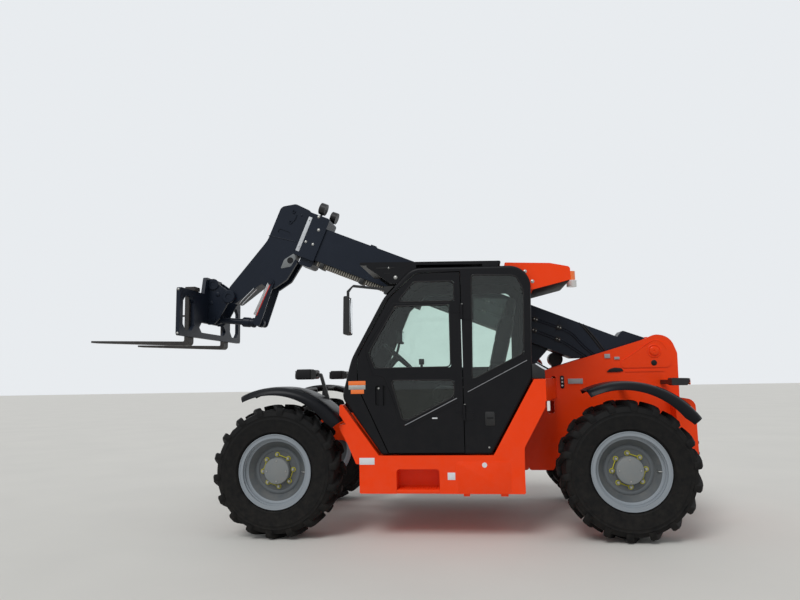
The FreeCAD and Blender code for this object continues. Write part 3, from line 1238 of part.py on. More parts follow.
def make_boom():
    half = S.boom_width / 2
    top, low = S.boom_top, S.boom_top - S.boom_height
    tail_low = top - S.boom_tail_height
    mouth = S.boom_length
    body = new_body("boom_outer")
    pad(body, "XZ", -half, half, [
        (-S.boom_tail, tail_low, S.boom_tail_round), (-S.boom_tail, top, S.boom_tail_round), (mouth, top),
        (mouth, low), (S.boom_taper_start, low, S.boom_taper_round),
        (S.boom_taper_end, tail_low, S.boom_taper_round),
    ])
    collar_u = mouth - S.collar_length
    pad(body, "XZ", -half - S.collar_wall, half + S.collar_wall, [
        (collar_u, low - S.collar_wall), (mouth, low - S.collar_wall), (mouth, S.collar_top),
        (collar_u, S.collar_top, S.collar_round),
    ])
    for name, reach in (
        ("hose_cover", S.hose_cover_half),
        ("boom_step", S.boom_step_half),
    ):
        pad(body, "XZ", -reach, reach, outline(name))
    pad(body, "XZ", -S.collar_box_half, S.collar_box_half, outline("collar_box", mouth))
    ear = S.lift_eye_half + S.work_gap
    ear_low = S.lift_pin_v - S.ear_tip
    for side in sides.values():
        pad(body, "XZ", *span(side, ear, ear + S.ear_wall), [
            (S.lift_pin_u - S.ear_foot, low), (S.lift_pin_u - S.ear_tip, ear_low, S.ear_round),
            (S.lift_pin_u + S.ear_tip, ear_low, S.ear_round), (S.lift_pin_u + S.ear_foot, low),
        ])
    room = half - S.boom_wall
    hollows = [
        box(S.boom_taper_start, mouth, low + S.boom_wall, top - S.boom_wall),
        box(S.boom_tail + S.boom_hollow_back, S.boom_taper_start, tail_low + S.boom_wall, top - S.boom_wall),
    ]
    for corners in hollows:
        pocket(body, "XZ", -room, room, corners)
    pocket(body, "XZ", -half, half, Round(0, 0, S.pivot_radius + S.running_gap))
    reach = S.boom_wall + S.slide_gap - S.face_gap
    for y_low, y_high in ((-half + S.cut_over, -half + reach), (half - reach, half - S.cut_over)):
        pad(body, "XZ", y_low, y_high, box(collar_u, mouth, low + S.pad_inset, top - S.pad_inset))
    for v_low, v_high in ((low + S.cut_over, low + reach), (top - reach, top - S.cut_over)):
        pad(body, "XZ", S.pad_inset - half, half - S.pad_inset, box(collar_u, mouth, v_low, v_high))
    keep_on_boom(body)

    lamps = new_body("boom_lamps")
    for u, y, v in ((S.lamp_a_u, S.lamp_a_y, S.lamp_a_v), (S.lamp_b_u, S.lamp_b_y, S.lamp_b_v)):
        pad(lamps, "YZ", u - S.work_lamp_half, u + S.work_lamp_half, Round(y, v, S.work_lamp_radius))
        foot = box(u - S.work_lamp_foot, u + S.work_lamp_foot, S.collar_top, v)
        pad(lamps, "XZ", y - S.work_lamp_foot, y + S.work_lamp_foot, foot)
    keep_on_boom(lamps)

    guide = new_body("hose_guard")
    guide_high = collar_u - S.work_gap
    guide_low = guide_high - S.guide_length
    for guide_end, drop in (
        (guide_high, S.guide_drop),
        (guide_low + S.guide_end, S.guide_end_drop),
    ):
        pad(guide, "XZ", S.guide_inner, S.guide_outer, box(guide_low, guide_end, low - drop, low))
    keep_on_boom(guide)

    gap = S.boom_wall + S.slide_gap
    tube_end = mouth + S.inner_overlap
    side_half = half - gap
    inner = new_body("boom_inner")
    pad(inner, "XZ", -side_half, side_half, box(S.inner_tail, tube_end, low + gap, top - gap))
    pocket(inner, "XZ", S.boom_wall - side_half, side_half - S.boom_wall,
           box(S.inner_tail, mouth - S.inner_bulkhead, low + gap + S.boom_wall, top - gap - S.boom_wall))
    pad(inner, "XZ", -S.head_half, S.head_half, outline("boom_head", mouth))
    for side in sides.values():
        plate = span(side, S.head_half - S.bracket_inset, S.head_half)
        pad(inner, "XZ", *plate, outline("rocker_bracket", mouth))
        recess = span(side, S.head_half - S.head_slot_depth, S.head_half + S.cut_over)
        pocket(inner, "XZ", *recess, outline("head_slot", mouth))
    pocket(inner, "XZ", -S.head_half, S.head_half, Round(
        mouth + S.head_pin_ahead, S.head_pin_v, S.head_pin_radius + S.running_gap))
    rocker_end = S.head_half + S.rocker_wall + S.rocker_pin_end
    pad(inner, "XZ", -rocker_end, rocker_end, Round(mouth + S.rocker_ahead, S.rocker_v, S.link_pin_radius))
    pad_end = S.inner_tail + S.pad_length
    for v_low, v_high in (
        (low + S.boom_wall + S.face_gap, low + gap + S.cut_over),
        (top - gap - S.cut_over, top - S.boom_wall - S.face_gap),
    ):
        pad(inner, "XZ", S.pad_inset - half, half - S.pad_inset, box(S.inner_tail, pad_end, v_low, v_high))
    keep_on_boom(inner)


def keep_on_boom(item):
    keep(item, x=pivot_x, y=S.boom_y, z=S.pivot_height, lift=S.boom_angle)


def make_tilt_linkage():
    rocker = new_body("tilt_rocker")
    plate_in = S.head_half + S.face_gap
    wide = S.rocker_width / 2
    for side in sides.values():
        low, high = span(side, plate_in, plate_in + S.rocker_wall)
        pad(rocker, "XZ", low, high, box(-wide, wide, -S.rocker_length, 0))
        for z in (as_size(0), -S.rocker_length):
            pad(rocker, "XZ", low, high, Round(0, z, wide))
        bore = Round(0, 0, S.link_pin_radius + S.running_gap)
        pocket(rocker, "XZ", low - S.cut_over, high + S.cut_over, bore)
    pin_half = plate_in + S.cut_over
    pad(rocker, "XZ", -pin_half, pin_half, Round(0, -S.rocker_length, S.link_pin_radius))
    keep(rocker, x=rocker_pin[0], y=S.boom_y, z=rocker_pin[1], lift=rocker_swing)

    link = new_body("tilt_link")
    turn(link, "XY", box(0, link_length, 0, S.link_radius))
    for x in (as_size(0), link_length):
        pad(link, "XZ", -S.link_half, S.link_half, Round(x, 0, S.link_eye))
    bore_half = S.link_radius + S.cut_over
    for x, radius in (
        (as_size(0), S.link_pin_radius + S.running_gap),
        (link_length, S.link_pin_radius),
    ):
        pocket(link, "XZ", -bore_half, bore_half, Round(x, 0, radius))
    keep(link, x=link_rear_pin[0], y=S.boom_y, z=link_rear_pin[1], lift=link_angle)
    for name, spot in (("tilt", head_pin), ("rocker", rocker_pin), ("link", link_rear_pin)):
        note_axis(name, spot[0], S.boom_y, spot[1])


def side_window(y_low, y_high, z_low, z_high):
    """A carriage window with four cut corners."""
    cut = S.window_cut
    return [
        (y_low + cut, z_low), (y_high - cut, z_low), (y_high, z_low + cut), (y_high, z_high - cut),
        (y_high - cut, z_high), (y_low + cut, z_high), (y_low, z_high - cut), (y_low, z_low + cut),
    ]


def middle_window(wide, z_low):
    """The carriage's lower window with a notch up its middle."""
    cut, notch = S.window_cut, S.notch_half
    z_high, z_notch = z_low + S.middle_window_height, z_low + S.notch_height
    z_side = z_low + S.middle_window_shoulder
    return [
        (-wide + cut, z_low), (wide - cut, z_low), (wide, z_side), (wide - cut, z_high),
        (notch, z_high), (notch, z_notch), (-notch, z_notch), (-notch, z_high),
        (-wide + cut, z_high), (-wide, z_side),
    ]


def make_carriage():
    head_x, head_z = head_pin
    coupler = new_body("coupler")
    plate_in = S.head_half + S.work_gap
    plate_out = plate_in + S.coupler_wall
    for side in sides.values():
        pad(coupler, "XZ", *span(side, plate_in, plate_out), outline("coupler_side"))
        stub = Round(S.coupler_pin_x, -S.coupler_pin_drop, S.link_pin_radius)
        pad(coupler, "XZ", *span(side, plate_out - S.cut_over, plate_out + S.head_pin_end), stub)
    back = box(S.carriage_ahead - S.coupler_back, S.carriage_ahead, -S.back_drop, S.back_rise)
    pad(coupler, "XZ", -plate_in - S.cut_over, plate_in + S.cut_over, back)
    pin_half = plate_out + S.head_pin_end
    pad(coupler, "XZ", -pin_half, pin_half, Round(0, 0, S.head_pin_radius))
    keep(coupler, x=head_x, y=S.boom_y, z=head_z)

    frame = new_body("fork_carriage")
    half = S.carriage_width / 2
    x_low, x_high = S.carriage_ahead + S.face_gap, S.carriage_ahead + S.carriage_wall
    low, high = -S.carriage_drop, S.carriage_rise
    rounded = S.carriage_round
    window_low, window_high = low + S.window_low, high - S.window_high
    near = half - S.window_side - S.window_width
    far = half - S.window_side
    pad(frame, "YZ", x_low, x_high,
        [(-half, low, rounded), (half, low, rounded), (half, high, rounded), (-half, high, rounded)],
        side_window(near, far, window_low, window_high),
        side_window(-far, -near, window_low, window_high),
        middle_window(half - S.middle_window_side, window_low))
    pad(frame, "YZ", x_low, x_high, [
        (-S.plate_half, high - rounded), (S.plate_half, high - rounded),
        (S.plate_top_half, high + S.plate_rise, S.carriage_round),
        (-S.plate_top_half, high + S.plate_rise, S.carriage_round),
    ])
    keep(frame, x=head_x, y=S.boom_y, z=head_z)

    forks = new_body("forks")
    shank = x_high + S.face_gap
    hook_high = high + S.fork_hook
    fork_low = low - S.fork_drop
    tip_x = shank + S.fork_reach
    tip_high = fork_low + S.fork_wall + S.fork_tip_rise
    for side in sides.values():
        sweep = span(side, (S.fork_spacing - S.fork_width) / 2, (S.fork_spacing + S.fork_width) / 2)
        pad(forks, "XZ", *sweep, [
            (shank, fork_low, S.fork_heel_round), (shank, hook_high), (shank + S.fork_wall, hook_high),
            (shank + S.fork_wall, fork_low + S.fork_wall, S.fork_inner_round),
            (tip_x, tip_high), (tip_x, tip_high - S.fork_tip_wall),
        ])
        hook = box(S.carriage_ahead - S.fork_hook_back, shank + S.cut_over, high + S.face_gap, hook_high)
        pad(forks, "XZ", *sweep, hook)
    keep(forks, x=head_x, y=S.boom_y, z=head_z)


def make_lift_cylinder():
    barrel = new_body("lift_barrel")
    rod_bore = S.lift_rod_radius + S.running_gap
    gland = S.lift_barrel_length - S.lift_gland
    turn(barrel, "XY", [
        (0, 0), (0, S.lift_barrel_radius), (S.lift_barrel_length, S.lift_barrel_radius),
        (S.lift_barrel_length, rod_bore), (gland, rod_bore), (gland, S.lift_bore_radius),
        (S.lift_foot_solid, S.lift_bore_radius), (S.lift_foot_solid, 0),
    ])
    pad(barrel, "XZ", -S.lift_eye_half, S.lift_eye_half, Round(0, 0, S.lift_barrel_radius))
    bore_half = S.lift_barrel_radius + S.cut_over
    pocket(barrel, "XZ", -bore_half, bore_half, Round(0, 0, S.lift_pin_radius + S.running_gap))
    keep(barrel, x=lift_foot[0], y=S.boom_y, z=lift_foot[1], lift=lift_angle)
    rod = new_body("lift_rod")
    tail = -S.lift_rod_length
    piston_radius = S.lift_bore_radius - S.running_gap
    turn(rod, "XY", [
        (tail, 0), (tail, piston_radius), (tail + S.lift_piston, piston_radius),
        (tail + S.lift_piston, S.lift_rod_radius), (0, S.lift_rod_radius), (0, 0),
    ])
    pad(rod, "XZ", -S.lift_eye_half, S.lift_eye_half, Round(0, 0, S.lift_eye_radius))
    bore_half = S.lift_eye_half + S.cut_over
    pocket(rod, "XZ", -bore_half, bore_half, Round(0, 0, S.lift_pin_radius))
    keep(rod, x=lift_head[0], y=S.boom_y, z=lift_head[1], lift=lift_angle)
    note_axis("lift cylinder foot", lift_foot[0], S.boom_y, lift_foot[1])
    note_axis("lift cylinder head", lift_head[0], S.boom_y, lift_head[1])


def make_running_gear():
    for end, axle_x in axles.items():
        make_axle(end, axle_x)
        for name, side in sides.items():
            make_knuckle(f"{end}_{name}", axle_x, side)
            make_rim(f"{end}_{name}", axle_x, side)
            note_axis(f"{end} {name} kingpin", axle_x, S.kingpin_y * side, S.tyre_radius)
            note_axis(f"{end} {name} wheel", axle_x, S.tyre_centre_y * side, S.tyre_radius)


def check(items):
    for item in items:
        for flag in ("Invalid", "Error"):
            if flag in item.State:
                raise RuntimeError(f"{item.Label} is {flag}")


def main():
    make_chassis()
    make_running_gear()
    make_tyres()
    make_sill()
    make_engine_side()
    make_rear_weight()
    make_cab()
    make_roof()
    make_door()
    make_cab_inside()
    make_lights_and_mirror()
    make_fenders()
    make_boom()
    make_tilt_linkage()
    make_carriage()
    make_lift_cylinder()
    note_axis("boom pivot", pivot_x, S.boom_y, S.pivot_height)
    note_axis("door hinge", -S.door_line, S.cab_outer_y + S.hinge_out, 0)
    doc.recompute()
    bound = FreeCAD.BoundBox()
    for item in sub_parts:
        bound.add(item.Shape.BoundBox)
    for name, middle in (("origin_x", bound.Center.x), ("origin_y", bound.Center.y)):
        centre.restate(name, -middle)
    doc.recompute()
    check(doc.Objects)
    os.makedirs("parts", exist_ok=True)
    for item in sub_parts:
        shape = item.Shape
        if shape.isNull() or not shape.isValid() or not shape.Solids:
            raise RuntimeError(f"{item.Label} has no valid solid")
        shape.exportStep(f"parts/{item.Label}.step")
    print(f"{len(sub_parts)} sub-parts, box {bound}")
    for name, x, y, z in axis_notes:
        print(name, round(x.value - bound.Center.x, 3), round(y.value - bound.Center.y, 3), round(z.value, 3))


main()
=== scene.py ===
# %% [markdown]
# # A telescopic handler, dressed over its CAD frame
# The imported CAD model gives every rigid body, joint and size. Here it is given its
# camera, light, finishes and the small parts that make it look used and real.
# Nothing below moves a CAD part: new pieces are added where the CAD says they sit.

# %% Load the frame
import math

import bpy
from mathutils import Matrix, Vector


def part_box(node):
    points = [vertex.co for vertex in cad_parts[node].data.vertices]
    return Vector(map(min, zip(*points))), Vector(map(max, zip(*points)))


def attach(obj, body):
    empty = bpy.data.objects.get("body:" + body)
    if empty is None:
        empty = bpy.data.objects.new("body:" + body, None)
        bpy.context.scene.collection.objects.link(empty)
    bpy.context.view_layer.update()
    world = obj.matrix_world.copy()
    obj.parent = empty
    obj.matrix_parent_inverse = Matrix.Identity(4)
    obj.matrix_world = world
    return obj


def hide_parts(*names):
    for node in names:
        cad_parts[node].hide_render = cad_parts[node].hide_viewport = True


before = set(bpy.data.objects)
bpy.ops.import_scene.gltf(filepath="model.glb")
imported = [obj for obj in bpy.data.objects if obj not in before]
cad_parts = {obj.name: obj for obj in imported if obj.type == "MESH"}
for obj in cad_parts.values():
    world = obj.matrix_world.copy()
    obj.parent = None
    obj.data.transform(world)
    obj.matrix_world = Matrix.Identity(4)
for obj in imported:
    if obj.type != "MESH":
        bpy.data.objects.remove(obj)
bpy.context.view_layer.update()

# %% [markdown]
# ## The camera
# The picture was taken standing, level with the cab door, a little ahead of the
# machine's middle and with the lens tipped up by seven degrees. A camera can be aimed
# with a constraint or typed in by hand. Its place and three turns are typed in here,
# because they were worked out from the rims and the hub caps of the two wheels.

# %% Camera at the photograph's viewing angle
CAMERA_PLACE = Vector((-0.958, 6.829, 1.395))
CAMERA_HEADING, CAMERA_TILT, CAMERA_ROLL = 0.1207316, 0.1213212, -0.018065
FOCAL_PIXELS, PICTURE_WIDTH, SENSOR_WIDTH = 646.62, 800, 36.0

looking = Vector((math.sin(CAMERA_HEADING) * math.cos(CAMERA_TILT),
                  -math.cos(CAMERA_HEADING) * math.cos(CAMERA_TILT), math.sin(CAMERA_TILT)))
across = Vector((-math.cos(CAMERA_HEADING), -math.sin(CAMERA_HEADING), 0.0))
upright = across.cross(looking)
right_edge = across * math.cos(CAMERA_ROLL) + upright * math.sin(CAMERA_ROLL)
top_edge = upright * math.cos(CAMERA_ROLL) - across * math.sin(CAMERA_ROLL)
camera_turn = Matrix((right_edge, top_edge, -looking)).transposed().to_4x4()

bpy.ops.object.select_all(action="DESELECT")
bpy.ops.object.camera_add()
camera = bpy.context.object
camera.matrix_world = Matrix.Translation(CAMERA_PLACE) @ camera_turn
camera.data.sensor_width = SENSOR_WIDTH
camera.data.lens = FOCAL_PIXELS / PICTURE_WIDTH * SENSOR_WIDTH
camera.data.clip_end = 500
bpy.context.scene.camera = camera
bpy.context.scene.view_settings.view_transform = "Standard"
print("lens", round(camera.data.lens, 2), "mm")

# %% [markdown]
# ## Finishes
# A finish is a small tree of shader nodes. Real paint, rubber and plastic are never one
# flat colour: dust settles low down, the gloss changes from patch to patch and the
# surface has a fine grain. One helper makes such a tree from a base colour, a noise
# that mottles it, a bump at the right scale and a dust layer that grows towards the
# ground. Every pattern reads Object coordinates, so it stays on the part when it moves.

# %% Small helpers for shader trees
def wire(tree, node, inputs):
    """Give each input of a node a value, or another node's output to read."""
    for socket, value in inputs.items():
        if isinstance(value, bpy.types.NodeSocket):
            tree.links.new(value, node.inputs[socket])
        else:
            node.inputs[socket].default_value = value


def add_node(tree, kind, inputs=None, **options):
    """A new shader node with its options and inputs set."""
    node = tree.nodes.new("ShaderNode" + kind)
    for option, value in options.items():
        setattr(node, option, value)
    wire(tree, node, inputs or {})
    return node


def place_on(tree):
    """The place on the object, for patterns."""
    return tree.nodes["Texture Coordinate"].outputs["Object"]


def blend(tree, amount, first, second, mode="MIX"):
    """A mix of two colours, each three numbers or another node's output."""
    pair = [c if isinstance(c, bpy.types.NodeSocket) else (*c, 1) for c in (first, second)]
    return add_node(tree, "Mix", {0: amount, 6: pair[0], 7: pair[1]}, data_type="RGBA",
                    blend_type=mode).outputs[2]


def remap(tree, value, from_min=0.0, from_max=1.0, to_min=0.0, to_max=1.0):
    """A value taken from one range to another."""
    return add_node(tree, "MapRange", {"Value": value, "From Min": from_min, "From Max": from_max,
                                       "To Min": to_min, "To Max": to_max}).outputs[0]


def combine(tree, operation, first, second, clamp=False):
    """Two values put together by one sum."""
    return add_node(tree, "Math", {0: first, 1: second}, operation=operation, use_clamp=clamp).outputs[0]


def bump(tree, height, strength, depth=0.001, **under):
    """Relief for a shader's Normal, laid over an earlier one where that is given."""
    return add_node(tree, "Bump", {"Height": height, "Strength": strength, "Distance": depth,
                                   **under}).outputs["Normal"]


# %% A helper for a new finish
DUST_COLOUR = (0.34, 0.29, 0.23)


def new_finish(name, colour, rough, metal=0.0, mottle=0.12, mottle_scale=3.0,
               grain=0.0, grain_scale=400.0, dust=0.0, dust_top=1.2, coat=0.0, shine=0.5):
    """A painted, moulded or bare surface: colour, mottling, grain and dust towards the ground."""
    finish = bpy.data.materials.new(name)
    finish.use_nodes = True
    tree = finish.node_tree
    shader = tree.nodes["Principled BSDF"]
    place = add_node(tree, "TexCoord").outputs["Object"]
    clouds = add_node(tree, "TexNoise", {"Vector": place, "Scale": mottle_scale, "Detail": 5}).outputs["Fac"]
    tone = blend(tree, clouds, [c * (1 - mottle) for c in colour], [min(c * (1 + mottle), 1) for c in colour])
    gloss = remap(tree, clouds, to_min=max(rough - 0.07, 0.02), to_max=min(rough + 0.09, 1))
    if dust:
        height = add_node(tree, "SeparateXYZ", {0: place}).outputs["Z"]
        low_down = remap(tree, height, dust_top, 0.0, dust * 0.25, dust)
        patches = add_node(tree, "TexNoise", {"Vector": place, "Scale": mottle_scale * 4, "Detail": 8,
                                              "Roughness": 0.7})
        amount = combine(tree, "MULTIPLY", low_down, remap(tree, patches.outputs["Fac"], 0.35, 0.75))
        tone = blend(tree, amount, tone, DUST_COLOUR)
        gloss = combine(tree, "ADD", gloss, amount, clamp=True)
    wire(tree, shader, {"Metallic": metal, "Coat Weight": coat, "Coat Roughness": 0.12,
                        "Specular IOR Level": shine, "Base Color": tone, "Roughness": gloss})
    if grain:
        pores = add_node(tree, "TexNoise", {"Vector": place, "Scale": grain_scale, "Detail": 3})
        wire(tree, shader, {"Normal": bump(tree, pores.outputs["Fac"], grain)})
    return finish


# %% The machine's own finishes
orange_paint = new_finish("orange_paint", (0.92, 0.052, 0.002), 0.34, mottle=0.05, grain=0.05,
                          grain_scale=260, dust=0.08, dust_top=1.3, coat=0.05, shine=0.16)
boom_paint = new_finish("boom_paint", (0.009, 0.0135, 0.024), 0.36, mottle=0.15, grain=0.06,
                        grain_scale=260, dust=0.01, dust_top=3.4, shine=0.18)
cab_paint = new_finish("cab_paint", (0.0060, 0.0062, 0.0078), 0.36, mottle=0.12, grain=0.05,
                       grain_scale=300, dust=0.02, dust_top=1.5, shine=0.15)
rim_paint = new_finish("rim_paint", (0.25, 0.28, 0.31), 0.42, mottle=0.10, grain=0.06,
                       grain_scale=220, dust=0.10, dust_top=1.1, shine=0.4)
# The disc's darker grey is painted shade of the deep wheel dish, with dust over it.
shaded_disc_paint = new_finish("shaded_disc_paint", (0.075, 0.086, 0.094), 0.50, mottle=0.15, grain=0.10,
                        grain_scale=180, dust=0.25, dust_top=1.1)
hub_paint = new_finish("hub_paint", (0.18, 0.195, 0.20), 0.50, mottle=0.15, grain=0.10,
                       grain_scale=180, dust=0.35, dust_top=1.1)
axle_paint = new_finish("axle_paint", (0.020, 0.021, 0.024), 0.48, mottle=0.25, grain=0.12,
                        grain_scale=120, dust=0.15, dust_top=1.2, shine=0.3)
tyre_rubber = new_finish("tyre_rubber", (0.0055, 0.0056, 0.006), 0.66, mottle=0.25,
                         mottle_scale=4, grain=0.25, grain_scale=300, dust=0.05, dust_top=1.3, shine=0.14)
moulded_plastic = new_finish("moulded_plastic", (0.012, 0.0125, 0.0135), 0.42, mottle=0.10,
                             grain=0.15, grain_scale=500, dust=0.05, dust_top=1.6, shine=0.35)
fender_plastic = new_finish("fender_plastic", (0.0045, 0.005, 0.007), 0.32, mottle=0.10,
                            grain=0.06, grain_scale=400, dust=0.01, dust_top=1.5, shine=0.14)
dark_plastic = new_finish("dark_plastic", (0.007, 0.007, 0.008), 0.55, grain=0.15,
                          grain_scale=500, shine=0.25)
hose_rubber = new_finish("hose_rubber", (0.011, 0.011, 0.012), 0.58, grain=0.18, grain_scale=350,
                         dust=0.05, dust_top=3.0, shine=0.3)
fork_steel = new_finish("fork_steel", (0.022, 0.020, 0.020), 0.44, mottle=0.30, mottle_scale=6,
                        grain=0.12, grain_scale=150, dust=0.12, dust_top=3.0, shine=0.35)
engine_iron = new_finish("engine_iron", (0.06, 0.06, 0.062), 0.55, metal=0.4, mottle=0.3,
                         grain=0.2, grain_scale=90, dust=0.30, dust_top=1.4)
chrome_rod = new_finish("chrome_rod", (0.72, 0.73, 0.75), 0.12, metal=1.0, mottle=0.04)
zinc_plate = new_finish("zinc_plate", (0.42, 0.42, 0.40), 0.34, metal=0.85, mottle=0.15,
                        mottle_scale=30, grain=0.08)
white_paint = new_finish("white_paint", (0.70, 0.72, 0.74), 0.40, mottle=0.05, grain=0.05)
red_paint = new_finish("red_paint", (0.55, 0.02, 0.015), 0.35, mottle=0.06, grain=0.05)
yellow_plastic = new_finish("yellow_plastic", (0.50, 0.45, 0.02), 0.45, mottle=0.10, grain=0.08)
# Orange darkened as painted shade, the colour of the shaded inner wheel arch; no piece uses it.
dark_red_arch_shade = new_finish("dark_red_arch_shade", (0.16, 0.014, 0.007), 0.55, mottle=0.15,
                             grain=0.08, dust=0.25, dust_top=1.4)
print("finishes so far:", len(bpy.data.materials))

# %% [markdown]
# ## Glass, lenses and the woven seat cover
# Cab glass is tinted green and lets most light through. A thin pane needs no bending of
# light, so a mix of a see-through shader and a mirror-like one, led by Fresnel, reads
# better than thick glass and stays quick. A lens is coloured plastic with fine ribs.

# %% Glass and lens finishes
def new_glass(name, tint, rough=0.02):
    """Thin tinted glass: tint seen through it, with a mirror layer that grows at the edges."""
    glass = bpy.data.materials.new(name)
    glass.use_nodes = True
    tree = glass.node_tree
    tree.nodes.remove(tree.nodes["Principled BSDF"])
    place = add_node(tree, "TexCoord").outputs["Object"]
    film = add_node(tree, "TexNoise", {"Vector": place, "Scale": 5}).outputs["Fac"]
    tone = blend(tree, film, [t * 0.94 for t in tint], tint)
    see_through = add_node(tree, "BsdfTransparent", {"Color": tone})
    mirror_layer = add_node(tree, "BsdfGlossy", {"Roughness": rough})
    edge = add_node(tree, "Fresnel", {"IOR": 1.45})
    both = add_node(tree, "MixShader", {0: edge.outputs[0], 1: see_through.outputs[0],
                                        2: mirror_layer.outputs[0]})
    wire(tree, tree.nodes["Material Output"], {"Surface": both.outputs[0]})
    return glass


def new_lens(name, colour, rough=0.12):
    """Ribbed coloured plastic."""
    lens = new_finish(name, colour, rough, mottle=0.05, coat=0.6)
    tree = lens.node_tree
    ribs = add_node(tree, "TexWave", {"Vector": place_on(tree), "Scale": 60})
    wire(tree, tree.nodes["Principled BSDF"], {"Normal": bump(tree, ribs.outputs["Fac"], 0.25)})
    return lens


cab_glass_finish = new_glass("cab_glass_finish", (0.90, 0.965, 0.935))
clear_glass = new_glass("clear_glass", (0.80, 0.84, 0.83))
amber_lens = new_lens("amber_lens", (0.90, 0.17, 0.01))
red_lens = new_lens("red_lens", (0.50, 0.015, 0.01))
white_lens = new_lens("white_lens", (0.62, 0.64, 0.66))
mirror_glass = new_finish("mirror_glass", (0.75, 0.78, 0.80), 0.04, metal=1.0, mottle=0.02)

seat_cloth = new_finish("seat_cloth", (0.016, 0.016, 0.018), 0.85, mottle=0.25, mottle_scale=12)
cloth_tree = seat_cloth.node_tree
weave = add_node(cloth_tree, "TexVoronoi", {"Vector": place_on(cloth_tree), "Scale": 420})
wire(cloth_tree, cloth_tree.nodes["Principled BSDF"],
     {"Normal": bump(cloth_tree, weave.outputs["Distance"], 0.5), "Sheen Weight": 0.3})
print("finishes now:", len(bpy.data.materials))

# %% [markdown]
# ## Which finish goes on which CAD node
# A CAD node whose shape is right keeps its shape and only gets a better finish. The
# list is by node, because one record slot, such as the black plastic, covers both a
# glossy fender and a dull dashboard on the real machine.

# %% Paint the CAD nodes
CORNERS = ("front_left", "front_right", "rear_left", "rear_right")
NODE_FINISH = {
    orange_paint: ["chassis_frame", "counterweight", "engine_hood", "left_sill", "rear_roof_cover"],
    boom_paint: ["boom_outer", "boom_inner", "tilt_link", "coupler", "fork_carriage", "lift_barrel",
                 "tilt_rocker"],
    cab_paint: ["cab_frame", "door_frame", "roof_visor"],
    rim_paint: [corner + "_rim" for corner in CORNERS],
    tyre_rubber: [corner + "_tyre" for corner in CORNERS],
    axle_paint: ["front_axle", "rear_axle", "tow_hitch"] + [corner + "_knuckle" for corner in CORNERS],
    fender_plastic: ["front_fenders", "rear_fenders"],
    moulded_plastic: ["mirror", "road_lamps", "boom_lamps", "exhaust_and_intake"],
    dark_plastic: ["dashboard", "seat_base", "steering_wheel"],
    hose_rubber: ["hose_guard"],
    fork_steel: ["forks"],
    engine_iron: ["engine_block"],
    chrome_rod: ["lift_rod"],
    cab_glass_finish: ["cab_glass", "door_glass"],
    amber_lens: ["beacon"],
    seat_cloth: ["seat_cushions"],
}
painted = set()
for finish, names in NODE_FINISH.items():
    for name in names:
        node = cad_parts[name]
        for place in node.material_slots:
            place.material = finish
        painted.add(name)
print("painted", len(painted), "left out:", sorted(set(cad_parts) - painted))

# %% [markdown]
# ## Floor and daylight
# The machine stands on pale concrete under a bright, clouded sky, so shadows are soft.
# The sky is the world colour, and one wide sun from the front left gives the edges
# their light side. The camera, mirrors and glass see a pale sky through Light Path,
# so the background brightens nothing else.

# %% The floor
bpy.ops.object.select_all(action="DESELECT")
bpy.ops.mesh.primitive_plane_add(size=160, location=(-1, 0, 0))
floor = bpy.context.object
floor.name = "floor"
floor.data.materials.append(new_finish("pale_concrete", (0.68, 0.66, 0.62), 0.8, mottle=0.06,
                                       mottle_scale=0.8, grain=0.3, grain_scale=60))

# %% The sky and the sun
SKY_LIGHT, SKY_SEEN, SUN_POWER, SUN_SPREAD = 0.55, 0.9, 1.3, 25

world = bpy.data.worlds.new("soft_sky")
bpy.context.scene.world = world
world.use_nodes = True
sky = world.node_tree
sky_light = sky.nodes["Background"]
wire(sky, sky_light, {"Color": (0.93, 0.97, 1.0, 1), "Strength": SKY_LIGHT})
seen_sky = add_node(sky, "Background", {"Color": (0.90, 0.93, 0.96, 1), "Strength": SKY_SEEN})
ray = add_node(sky, "LightPath").outputs
camera_or_mirror = combine(sky, "MAXIMUM", ray["Is Camera Ray"], ray["Is Glossy Ray"])
or_glass = combine(sky, "MAXIMUM", camera_or_mirror, ray["Is Transmission Ray"])
sky_mix = add_node(sky, "MixShader", {0: or_glass, 1: sky_light.outputs[0], 2: seen_sky.outputs[0]})
wire(sky, sky.nodes["World Output"], {"Surface": sky_mix.outputs[0]})

bpy.ops.object.light_add(type="SUN", rotation=(math.radians(-38), math.radians(18), 0))
sun = bpy.context.object
sun.data.energy = SUN_POWER
sun.data.angle = math.radians(SUN_SPREAD)
print("sun", SUN_POWER, "sky", SKY_LIGHT)

# %% [markdown]
# ## Workshop helpers
# The parts below are modelled as by hand: a primitive is placed, its corners are drawn
# out by extruding or spinning in edit mode, and a bevel breaks the edges. These helpers
# only save repeating the same few operators. Sizes are in millimetres, measured from
# the middle of the front axle, as on a drawing of the machine.

# %% Drawing coordinates
FRONT_AXLE_X = 0.892921
BOOM_FOOT_X, BOOM_FOOT_Z, BOOM_MIDDLE_Y, BOOM_ANGLE = -3560, 1623, -50, math.radians(22.6)


def at(x, y, z):
    """A drawing point in millimetres as a place in the frame."""
    return Vector((x / 1000 + FRONT_AXLE_X, y / 1000, z / 1000))


def on_boom(along, across, up):
    """A point measured along the boom from its foot, across it and square to it."""
    x = BOOM_FOOT_X + along * math.cos(BOOM_ANGLE) - up * math.sin(BOOM_ANGLE)
    z = BOOM_FOOT_Z + along * math.sin(BOOM_ANGLE) + up * math.cos(BOOM_ANGLE)
    return at(x, BOOM_MIDDLE_Y + across, z)


def places(place, *points):
    """Several drawing points as places in the frame."""
    return [place(*point) for point in points]


def let_go():
    """Leave edit mode and select nothing."""
    if bpy.context.object and bpy.context.object.mode != "OBJECT":
        bpy.ops.object.mode_set(mode="OBJECT")
    bpy.ops.object.select_all(action="DESELECT")


def hold(*pieces):
    """Select these pieces alone, the first one active."""
    let_go()
    for piece in pieces:
        piece.select_set(True)
    bpy.context.view_layer.objects.active = pieces[0]


